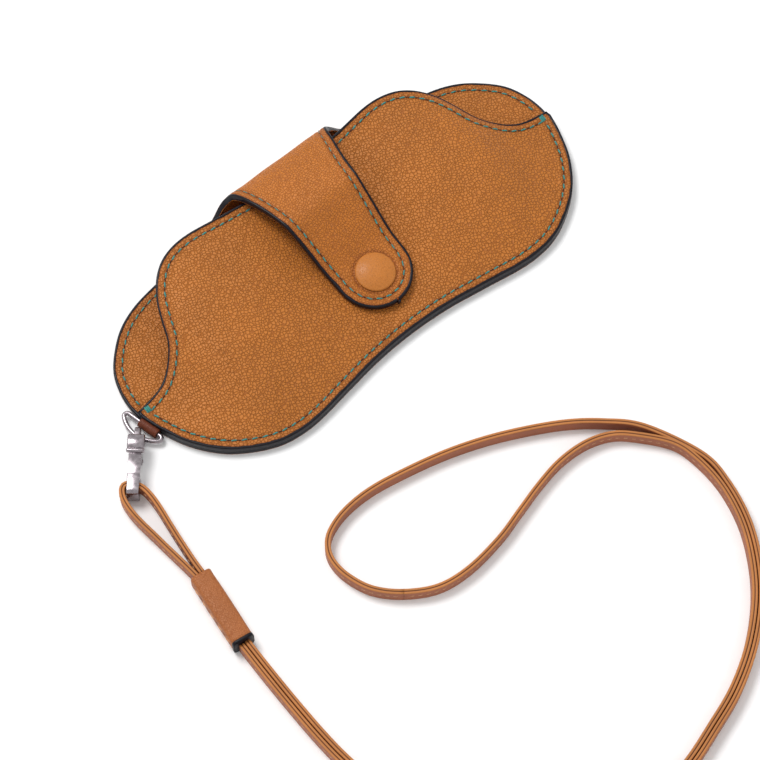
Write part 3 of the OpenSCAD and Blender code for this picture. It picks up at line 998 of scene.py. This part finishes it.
seam_line, seam_ups = dropped(even(beside(low_edge, -STITCH_INSET), 0.8)[3:-3])
mouth_line, mouth_ups = dropped(even(beside(mouth_edge, STITCH_INSET), 0.8)[3:-3])
front_rim = np.concatenate(
    [front_high[:, 0], front_high[-1, 1:], front_high[::-1, -1][1:], front_high[0, ::-1][1:-1]]
)
front_under = np.concatenate(
    [front_low[:, 0], front_low[-1, 1:], front_low[::-1, -1][1:], front_low[0, ::-1][1:-1]]
)
front_inside = np.concatenate(
    [front_high[:, 3], front_high[-4, 1:], front_high[::-1, -4][1:], front_high[3, ::-1][1:-1]]
)
# The front panel's mark is painted shade along its edge and stitch lines.
moved, front_shade_mark = relief(
    distances(front_high, [np.concatenate([front_rim, front_rim[:1]])]),
    distances(front_high, [seam_line, mouth_line]),
    unevenness(front_high, 0.22, 11),
)
front_top = front_high.copy()
front_top[:, :, 2] += moved
verts, faces = sheet_mesh(front_top, front_low)
top_faces = FRONT_ROWS * (len(low_edge) - 1)
front_panel = piece(
    "front_panel",
    verts,
    faces,
    pebbled_cowhide,
    marks={"edge_shade_mark": np.concatenate([front_shade_mark.ravel(), np.zeros(front_shade_mark.size)])},
    second=lining_calf,
    second_faces=range(top_faces, len(faces)),
)
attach(front_panel, "case")
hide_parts("front_leather", "front_lining")
in_seam = np.zeros(len(front_rim))
in_seam[: len(low_edge)] = 1
painted_bead(
    "front_edge_paint",
    front_under,
    front_rim,
    front_inside,
    (in_seam, 0 * in_seam),
    lambda o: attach(o, "case"),
)
print("front panel", front_high.shape, "rises to", round(float(front_top[:, :, 2].max()), 1), "mm")

# %% Front stitches
stitch_line(
    "seam_stitches", seam_line, seam_ups, teal_polyester, "case", nodes=("seam_thread",)
)
stitch_line(
    "mouth_stitches", mouth_line, mouth_ups, teal_polyester, "case", nodes=("mouth_thread",)
)

# %% [markdown]
# ### Back panel and strap
# The back panel's upper edge makes a lobe at each end and the strap's root between them. The strap
# bends up at the root, folds over the pocket and lies down to its round tip. Its rows follow the
# outer face in side view, and each row is as wide as the strap is there.

# %% Back panel and strap
LOBE_COLS = 72
ROOT_COLS = 80
BACK_ROWS = 56
BEND_R = 2.7
BEND_ANGLE = math.radians(80)
ROOT_FLAT = 0.4
TIP_R = 12.5
bend = [
    (
        ROOT_Y + ROOT_FLAT + BEND_R * math.sin(a),
        BEND_R * (1 - math.cos(a)),
        ROOT_HALF - 2.4 * a / BEND_ANGLE,
    ) for a in np.linspace(0, BEND_ANGLE, 9)
]
FLAP = [
    (38.55, 5.6, 25.5), (38.8, 9, 23), (38.3, 12, 21), (36.4, 15.4, 19.4), (31, 17.8, 17.8),
    (22.6, 19, 15.8), (14.3, 19.4, 14.6), (5.9, 15.6, 13.8), (-1.5, 11.6, 13.2),
    (-5.5, 10.2, 12.9), (-17.5, 8.1, 12.6), (-23, 7.4, 12.6),
]
profile = np.concatenate([[(ROOT_Y, 0, ROOT_HALF)], curve(bend, 3), curve([bend[-1]] + FLAP, 14)[1:]])
along = running(profile[:, :2])
strap_len = along[-1]
stops = np.concatenate(
    [
        np.arange(0, strap_len - TIP_R, 0.62),
        strap_len - TIP_R + TIP_R * np.sin(np.linspace(0, math.pi / 2, 26)) * 0.9995,
    ]
)
rows = np.stack([np.interp(stops, along, profile[:, k]) for k in range(3)], axis=1)
left = strap_len - stops
rows[:, 2] *= np.where(left < TIP_R, np.sqrt(np.clip(1 - ((TIP_R - left) / TIP_R) ** 2, 0.0004, 1)), 1)


def inward(p):
    h = headings(p[:, :2])
    h[0] = (1, 0)
    return np.stack([-h[:, 1], h[:, 0]], axis=1)


row_in = inward(rows)
across = np.linspace(1, -1, ROOT_COLS + 1)
strap_outer = np.dstack(
    [
        STRAP_X + rows[:, 2:3] * across[None, :],
        np.repeat(rows[:, 0:1], ROOT_COLS + 1, 1),
        np.repeat(rows[:, 1:2], ROOT_COLS + 1, 1),
    ]
)
strap_inner = strap_outer + np.stack(
    [0 * row_in[:, 0], row_in[:, 0], row_in[:, 1]], axis=1
)[:, None, :] * PANEL_T


def split_even(p, n):
    return spaced(p, np.linspace(0, running(p)[-1], n + 1))


right_lobe = split_even(curve(LOBE + [(STRAP_X + ROOT_HALF, ROOT_Y)], 12), LOBE_COLS)
left_lobe = split_even(curve([(STRAP_X - ROOT_HALF, ROOT_Y)] + mirrored(LOBE), 12), LOBE_COLS)
upper = np.concatenate([right_lobe, strap_outer[0, 1:-1, :2], left_lobe])
low_run = running(low_edge)
corner_runs = [
    float(np.interp(-x, -low_edge[:, 0], low_run)) for x in (STRAP_X + ROOT_HALF, STRAP_X - ROOT_HALF)
]
lower_places = np.concatenate([
    np.linspace(0, corner_runs[0], LOBE_COLS + 1),
    np.linspace(corner_runs[0], corner_runs[1], ROOT_COLS + 1)[1:-1],
    np.linspace(corner_runs[1], low_run[-1], LOBE_COLS + 1),
])
lower = spaced(low_edge, lower_places)
back_plan = lower[:, None, :] + (upper - lower)[:, None, :] * row_places(BACK_ROWS)[None, :, None]
back_inner = np.dstack([back_plan, np.full(back_plan.shape[:2], PANEL_T)])
back_outer = np.dstack([back_plan, np.zeros(back_plan.shape[:2])])
print("strap", round(strap_len, 1), "mm from root to tip")


# %% Rim and stitch lines of the back
def rim_of(panel, strap):
    """The closed edge: lower edge, left lobe, strap's left side and tip, its right side, right lobe."""
    return np.concatenate(
        [
            panel[:, 0],
            panel[::-1, -1][1:LOBE_COLS],
            strap[:, -1],
            strap[-1, ::-1][1:-1],
            strap[::-1, 0],
            panel[LOBE_COLS - 1 : 0 : -1, -1],
        ]
    )


def developed(x, s):
    """A point of the strap's outer face from its place across and along the strap."""
    y, z = (np.interp(s, along, profile[:, k]) for k in (0, 1))
    return np.stack([STRAP_X + x, y, z], axis=1)


half_at = np.interp(stops, along, profile[:, 2])
straight = (stops > 3) & (left > TIP_R)
flat_side = np.stack([half_at[straight] - STITCH_INSET, stops[straight]], axis=1)
turn = np.linspace(0, math.pi, 40)
tip_x, tip_s = (
    TIP_R - STITCH_INSET
) * np.cos(turn), strap_len - TIP_R + (TIP_R - STITCH_INSET) * np.sin(turn)
flat_line = np.concatenate([flat_side, np.stack([tip_x, tip_s], axis=1), flat_side[::-1] * [-1, 1]])
strap_line = even(developed(flat_line[:, 0], flat_line[:, 1]), 0.8)
strap_shape = BVHTree.FromPolygons(
    [tuple(v) for v in strap_outer.reshape(-1, 3)], grid_faces(*strap_outer.shape[:2])
)


def strap_up(q):
    normal = strap_shape.find_nearest(Vector(q))[1]
    middle = Vector((q[0], 20.0, 6.0))
    return np.array(normal if normal.dot(Vector(q) - middle) > 0 else -normal)


strap_ups = np.array([strap_up(q) for q in strap_line])
lobe_lines = [
    lifted(even(beside(lobe, STITCH_INSET), 0.8)[6:-4], PANEL_T) for lobe in (right_lobe, left_lobe)
]

# %% Build the back and strap as one mesh
back_rim = rim_of(back_outer, strap_outer)
inner_rim = rim_of(back_inner, strap_inner)
rim_loop = [np.concatenate([back_rim, back_rim[:1]])]
# The back's and the strap's marks are painted shade along their edges and stitch lines.
panel_move, panel_shade_mark = relief(
    distances(back_outer, rim_loop), distances(back_inner, lobe_lines), unevenness(back_inner, 0.14, 12)
)
strap_move, strap_shade_mark = relief(
    distances(strap_outer, rim_loop), distances(strap_outer, [strap_line]), unevenness(strap_outer, 0.22, 9)
)
to_stud = np.linalg.norm((strap_outer - STUD_AT)[:, :, :2], axis=2)
seat = (strap_outer[:, :, 1] < 2) * np.exp(-(((to_stud - 7.0) / 0.45) ** 2))
strap_move = (strap_move - 0.14 * seat) * np.clip(strap_outer[:, :, 2] / 2.5, 0, 1)
# The stud's pressed seat is darkened too, as painted shade in its groove.
strap_shade_mark = np.clip(strap_shade_mark + 0.4 * seat, 0, 1)
beyond_root = np.clip((np.abs(back_inner[:, :, 0] - STRAP_X) - 29.3) / 1.5, 0, 1)
panel_top = back_inner.copy()
panel_top[:, :, 2] += panel_move * np.where(back_inner[:, :, 1] > 20, beyond_root, 1)
strap_face = strap_outer - np.stack(
    [0 * row_in[:, 0], row_in[:, 0], row_in[:, 1]], axis=1
)[:, None, :] * strap_move[:, :, None]
n_cols, n_rows = back_plan.shape[0], BACK_ROWS + 1
s_rows, s_cols = strap_outer.shape[:2]
verts = np.concatenate([g.reshape(-1, 3) for g in (panel_top, back_outer, strap_inner, strap_face)])
starts = np.cumsum([0, n_cols * n_rows, n_cols * n_rows, s_rows * s_cols])
lining = grid_faces(n_cols, n_rows, starts[0]) + grid_faces(s_rows, s_cols, starts[2])
face_side = grid_faces(n_cols, n_rows, starts[1], True) + grid_faces(s_rows, s_cols, starts[3], True)
walls = []
for i in range(n_cols - 1):
    a, b = i * n_rows, (i + 1) * n_rows
    walls.append((a, b, b + starts[1], a + starts[1]))
    if i < LOBE_COLS or i >= n_cols - 1 - LOBE_COLS:
        walls.append((a + BACK_ROWS, b + BACK_ROWS, b + BACK_ROWS + starts[1], a + BACK_ROWS + starts[1]))
for i in range(s_rows - 1):
    for j in (0, s_cols - 1):
        a, b = i * s_cols + j, (i + 1) * s_cols + j
        walls.append((starts[2] + a, starts[2] + b, starts[3] + b, starts[3] + a))
for j in range(s_cols - 1):
    a = (s_rows - 1) * s_cols + j
    walls.append((starts[2] + a, starts[2] + a + 1, starts[3] + a + 1, starts[3] + a))
marks = np.concatenate(
    [panel_shade_mark.ravel(), np.zeros(panel_shade_mark.size), np.zeros(strap_shade_mark.size), strap_shade_mark.ravel()]
)
back = piece(
    "back_panel_and_strap",
    verts,
    lining + face_side + walls,
    pebbled_cowhide,
    marks={"edge_shade_mark": marks},
    merge=0.004,
    second=strap_cowhide,
    second_faces=range(len(lining), len(lining) + len(face_side)),
)


def with_strap(obj):
    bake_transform(obj)


with_strap(back)
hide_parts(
    "back_leather", "back_lining", "strap_root", "strap_root_lining", "strap_leather", "strap_lining"
)
back_inside = rim_of(
    np.concatenate([back_inner[:, 3:4], back_inner[:, 1:-1], back_inner[:, -4:-3]], axis=1),
    np.concatenate([strap_outer[:, 3:4], strap_outer[:, 1:-1], strap_outer[:, -4:-3]], axis=1),
)
seam_part = np.zeros(len(back_rim))
seam_part[:n_cols] = 1
painted_bead("back_edge_paint", back_rim, inner_rim, back_inside, (0 * seam_part, seam_part), with_strap)

# %% Stitches of the back and strap
stitch_line(
    "strap_stitches", strap_line, strap_ups, teal_polyester, "strap", nodes=("strap_thread",)
)
flat_up = np.array([0, 0, 1.0])
for line, side_name in zip(lobe_lines, ("right", "left")):
    stitch_line(
        f"lobe_stitches_{side_name}",
        line,
        np.tile(flat_up, (len(line), 1)),
        teal_polyester,
        "case",
        nodes=(f"lobe_thread_{side_name}",),
    )
tacks = []
for side in (-1, 1):
    for k in (-1, 0, 1):
        x = side * 81.4 + k * 0.55
        tacks.append(stitch_mesh((x - 0.1, -2.3, SEAM_T), (x + 0.1, 0.2, SEAM_T + 0.15), flat_up, 0.32))
tack = piece("bar_tacks_sewn", *join_parts(tacks), teal_polyester)
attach(tack, "case")
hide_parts("bar_tacks")

# %% [markdown]
# ### Covered cap
# The press stud's cap is a steel dome covered with polished calf, gathered under its rim. It is a
# turned shape: a low dome whose edge rolls under, set in a pressed ring in the strap.


# %% Stud cap
def stud_point(x, y, z):
    c, s = math.cos(STUD_TILT), math.sin(STUD_TILT)
    return (STUD_AT[0] + x, STUD_AT[1] + y * c - z * s, STUD_AT[2] + y * s + z * c)


def turned(profile_points, n=72):
    verts, faces = [stud_point(0, 0, profile_points[0][1])], []
    for r, z in profile_points[1:]:
        verts += [
            stud_point(
                r * math.cos(2 * math.pi * k / n), r * math.sin(2 * math.pi * k / n), z
            ) for k in range(n)
        ]
    for k in range(n):
        faces.append((0, 1 + k, 1 + (k + 1) % n))
    for i in range(len(profile_points) - 2):
        for k in range(n):
            a, b = 1 + i * n, 1 + (i + 1) * n
            faces.append((a + k, b + k, b + (k + 1) % n, a + (k + 1) % n))
    last = 1 + (len(profile_points) - 2) * n
    faces.append(tuple(last + k for k in range(n - 1, -1, -1)))
    return verts, faces


CAP_R = 6.5
CAP_H = 2.2
dome = [(CAP_R * 0.93 * q, 0.8 + (CAP_H - 0.8) * (1 - q**2.2)) for q in np.linspace(0, 1, 16)]
rim = [
    (CAP_R * 0.965, 0.68),
    (CAP_R * 0.99, 0.5),
    (CAP_R, 0.32),
    (CAP_R * 0.99, 0.15),
    (CAP_R * 0.95, 0.02),
    (CAP_R * 0.9, -0.05),
]
cap = piece("covered_cap", *turned(dome + rim), polished_calf)
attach(cap, "strap")
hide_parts("stud_cap")

# %% [markdown]
# ### Ring and its tab
# A small D-ring of nickel-plated wire hangs from a folded tab of calf sewn into the seam; the tab is
# coloured dark brown as painted shade, for the shadow under the case's edge. The wire is round all
# the way, so it is one closed sweep of a circle.

# %% Ring and tab
BAR_DIR = np.array([0.216, -0.976, 0])
OUT_DIR = np.array([-0.976, -0.216, 0])
RING_W = 14.4
RING_DEPTH = 4.4
WIRE_R = 0.75
CORNER = 1.0
bar_mid = np.array([-83.7, -3.5, PANEL_T]) + OUT_DIR * (WIRE_R + 0.5)


def at_bar(x, y, z):
    return bar_mid + OUT_DIR * x + BAR_DIR * y + np.array([0, 0, z])


bow_r = (
    (RING_DEPTH - CORNER) ** 2 + (RING_W / 2 - CORNER) ** 2 - CORNER**2
) / (2 * (RING_DEPTH - 2 * CORNER))
bow_mid = RING_DEPTH - bow_r
bow_half = math.atan2(RING_W / 2 - CORNER, CORNER - bow_mid)
ring_flat = [
    (bow_mid + bow_r * math.cos(a), bow_r * math.sin(a)) for a in np.linspace(-bow_half, bow_half, 49)
]
ring_flat += [
    (
        CORNER + CORNER * math.cos(a), RING_W / 2 - CORNER + CORNER * math.sin(a)
    ) for a in np.linspace(bow_half, math.pi, 13)[1:]
]
ring_flat += [(0, y) for y in np.linspace(RING_W / 2 - CORNER, CORNER - RING_W / 2, 12)[1:-1]]
ring_flat += [
    (CORNER + CORNER * math.cos(a), CORNER - RING_W / 2 + CORNER * math.sin(a))
    for a in np.linspace(math.pi, 2 * math.pi - bow_half, 13)[:-1]
]
ring_route = np.array([at_bar(x, y, 0) for x, y in ring_flat])
around = np.concatenate([ring_route[-1:], ring_route, ring_route[:1]])
ring_head = around[2:] - around[:-2]
ring_head /= np.linalg.norm(ring_head, axis=1)[:, None]
ring_up = np.tile(flat_up, (len(ring_route), 1))
dee = piece(
    "dee_ring_wire",
    *sweep(
        ring_route, round_section(WIRE_R, 24), side=np.cross(ring_head, ring_up), up=ring_up, closed=True
    ),
    bright_nickel,
)
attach(dee, "ring")
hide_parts("dee_ring")

TAB_W = 7.0
TAB_T = 0.8
TAB_SHIFT = 1.8
fold_r = WIRE_R + 0.1 + TAB_T / 2
tab_path = [(-6.0, -TAB_T / 2), (-4.0, -TAB_T / 2), (-2.2, -TAB_T / 2 - 0.05)]
tab_path += [(fold_r * math.cos(a), fold_r * math.sin(a)) for a in np.radians(np.arange(-140, 141, 10))]
tab_route = np.array([at_bar(x, TAB_SHIFT, z) for x, z in tab_path])
tab_dir = headings(tab_route)
tab_side = np.tile(BAR_DIR, (len(tab_route), 1))
tab = piece(
    "ring_tab_leather",
    *sweep(
        tab_route, rounded_box_section(TAB_W, TAB_T, 0.25, 4), side=tab_side, up=np.cross(tab_side, tab_dir)
    ),
    shaded_tab_leather,
)
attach(tab, "case")
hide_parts("ring_tab")

# %% [markdown]
# ### Trigger hook
# The hook is a zinc casting with a flat shank, a barrel head, a narrow bill that curls under the
# ring, and an eye that the ribbon passes through. Castings have no sharp corners, so each part is a
# cut outline given a width and then bevelled.

# %% Hook helpers
HOOK_AT = np.array([-89.0, -5.6, 0.0])
HOOK_ANGLE = math.radians(228.3)


def at_hook(s, w, z):
    c, d = math.cos(HOOK_ANGLE), math.sin(HOOK_ANGLE)
    return (HOOK_AT[0] + s * c - w * d, HOOK_AT[1] + s * d + w * c, z)


def cast(name, outline, w0, w1, bevel, hole=None, body="lanyard"):
    """An outline of (along, height) points with a width, bevelled, and a hole if one is given."""
    n = len(outline)
    verts = [at_hook(s, w, z) for w in (w0, w1) for s, z in outline]
    if hole:
        verts += [at_hook(s, w, z) for w in (w0, w1) for s, z in hole]
    faces = [(k, (k + 1) % n, n + (k + 1) % n, n + k) for k in range(n)]
    if hole:
        faces += [(2 * n + k, 3 * n + k, 3 * n + (k + 1) % n, 2 * n + (k + 1) % n) for k in range(n)]
        for side in (0, n):
            faces += [
                (
                    side + k, side + (k + 1) % n, 2 * n + side + (k + 1) % n, 2 * n + side + k
                ) for k in range(n)
            ]
    else:
        faces += [tuple(range(n)), tuple(range(2 * n - 1, n - 1, -1))]
    obj = piece(name, verts, faces, bright_nickel)
    bm = bmesh.new()
    bm.from_mesh(obj.data)
    sharp = [e for e in bm.edges if len(e.link_faces) == 2 and e.calc_face_angle() > math.radians(35)]
    bmesh.ops.bevel(
        bm, geom=sharp, offset=bevel * MM, segments=3, profile=0.5, affect="EDGES", clamp_overlap=True
    )
    for face in bm.faces:
        face.smooth = True
    bm.to_mesh(obj.data)
    bm.free()
    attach(obj, body)
    return obj


def corners(s0, z0, s1, z1, radii, n=5):
    """A rectangle with its own radius at each corner, from the lower left."""
    out = []
    for (cs, cz, start), r in zip(((s0, z0, 180), (s1, z0, 270), (s1, z1, 0), (s0, z1, 90)), radii):
        ms, mz = cs + (r if cs == s0 else -r), cz + (r if cz == z0 else -r)
        out += [
            (
                ms + r * math.cos(math.radians(start + 90 * k / n)),
                mz + r * math.sin(math.radians(start + 90 * k / n)),
            ) for k in range(n + 1)
        ]
    return out


# %% Hook parts
BILL_MID = 2.75
BILL_R = 2.25
bill_path = [
    (BILL_R * math.cos(a), BILL_MID + BILL_R * math.sin(a)) for a in np.radians(np.arange(310, 89, -8))
]
bill_path += [(0.9, 5.02), (1.8, 5.15), (2.8, 5.5)]
bill_route = np.array([at_hook(s, 0, z) for s, z in bill_path])
bill_side = np.tile(np.array(at_hook(0, 1, 0)) - np.array(at_hook(0, 0, 0)), (len(bill_route), 1))
bill_size = np.interp(np.arange(len(bill_route)), [0, 2, 6, len(bill_route)], [0.72, 0.9, 1, 1])
bill = piece(
    "hook_bill",
    *sweep(
        bill_route,
        rounded_box_section(1.8, 0.9, 0.34),
        side=bill_side,
        up=np.cross(bill_side, headings(bill_route)),
        scale=bill_size,
    ),
    bright_nickel,
)
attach(bill, "lanyard")
head_arc = [
    (4 + 5 * math.cos(a), 2.9 + 5 * math.sin(a)) for a in np.linspace(
        math.acos(2.4 / 5), math.acos(-2.6 / 5), 13
    )
]
head = cast("hook_head", [(1.4, 4.9), (6.4, 4.9)] + head_arc, -2.65, 2.65, 0.4)
bead_stops = [-2.8, -2.75, -2.5, -2.2, 2.2, 2.5, 2.75, 2.8]
bead_route = np.array([at_hook(7.0, w, 7.2) for w in bead_stops])
bead = piece(
    "hook_bead",
    *sweep(
        bead_route,
        round_section(0.75),
        up=np.tile(flat_up, (8, 1)),
        scale=np.array([0.4, 0.75, 0.96, 1, 1, 0.96, 0.75, 0.4]),
    ),
    bright_nickel,
)
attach(bead, "lanyard")
cast("hook_shank", corners(6.2, 6.1, 15.2, 7.4, (0.1,) * 4, 2), -1.9, 1.9, 0.22)


def round_the_pin(radius, start, stop, step):
    """Points on an arc about the gate's pin, with its angles in degrees."""
    turns = np.radians(np.arange(start, stop, step))
    return [(PIN_S + radius * math.cos(a), PIN_Z + radius * math.sin(a)) for a in turns]


PIN_S = 8.2
PIN_Z = 1.9
CHEEK_T = 0.8
cheek_outline = [(6.8, 6.6), (6.8, 6.1)] + round_the_pin(1.3, 172, 369, 14) + [(9.6, 6.1), (9.6, 6.6)]
for side, inner_face in (("left", 1.1), ("right", -1.9)):
    cast(f"hook_cheek_{side}", cheek_outline, inner_face, inner_face + CHEEK_T, 0.15)
cast(
    "hook_eye",
    corners(14.4, 0.1, 21.4, 7.45, (0.5, 1.6, 1.4, 0.5)),
    -1.9,
    1.9,
    0.28,
    hole=corners(15.8, 0.9, 18.8, 6.1, (0.4, 0.4, 0.4, 0.4)),
)
gate_outline = [(1.75, 0.5), (7.6, 0.5)] + round_the_pin(1.2, 250, 480, 15) + [(7.0, 1.6), (1.75, 1.6)]
gate = cast("hook_gate_lever", gate_outline, -0.9, 0.9, 0.16, body="gate")
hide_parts("hook_body")
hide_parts("hook_gate")

# %% [markdown]
# ## Small parts that stay as built
# The stud, its rivet and socket, the gate's pin and its spring are turned or pressed metal. Their
# solid shapes are already right, so they only need plate.

# %% Plate the small parts
for name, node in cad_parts.items():
    if not node.hide_render:
        node.data.materials.clear()
        node.data.materials.append(bright_nickel)
        for polygon in node.data.polygons:
            polygon.use_smooth = True
        print("plated", name)

# %% [markdown]
# ## Table and light
# The case lies on a white sweep. One large soft light stands behind it and a pale sky fills the
# rest, so the shadows are short, soft and light grey, and fall towards the viewer's right.

# %% Table and light
TABLE_HALF = 3000
KEY_PLACE = (-0.15, 0.62, 1.25)
KEY_AIM = (-0.02, -0.04, 0.0)
KEY_SIZE = 0.6
KEY_POWER = 12.0
SKY_STRENGTH = 0.78
floor = piece(
    "table",
    [(x * TABLE_HALF, y * TABLE_HALF, 0) for x, y in ((-1, -1), (1, -1), (1, 1), (-1, 1))],
    [(0, 1, 2, 3)],
    new_material("white_paper", Roughness=0.9)[0],
    smooth=False,
)
paper_tree = floor.data.materials[0].node_tree
paper = add(paper_tree, "ShaderNodeTexNoise", values={"Scale": 900.0})
paper_tint = add(
    paper_tree,
    "ShaderNodeValToRGB",
    links={"Fac": paper.outputs["Fac"]},
    stops=[(0.3, "#F7F7F7"), (0.7, "#FAFAFA")],
)
paper_tree.links.new(paper_tint.outputs[0], paper_tree.nodes["Principled BSDF"].inputs["Base Color"])


def area_light(name, place, target, size, power):
    data = bpy.data.lights.new(name, "AREA")
    data.shape = "DISK"
    data.size = size
    data.energy = power
    lamp = bpy.data.objects.new(name, data)
    bpy.context.scene.collection.objects.link(lamp)
    lamp.location = place
    lamp.rotation_euler = (Vector(target) - Vector(place)).to_track_quat("-Z", "Y").to_euler()
    return lamp


area_light("key", KEY_PLACE, KEY_AIM, KEY_SIZE, KEY_POWER)
world = bpy.data.worlds.new("studio")
world.use_nodes = True
world.node_tree.nodes["Background"].inputs["Color"].default_value = (1.0, 1.0, 1.0, 1.0)
world.node_tree.nodes["Background"].inputs["Strength"].default_value = SKY_STRENGTH
bpy.context.scene.world = world
bpy.context.scene.view_settings.view_transform = "Standard"
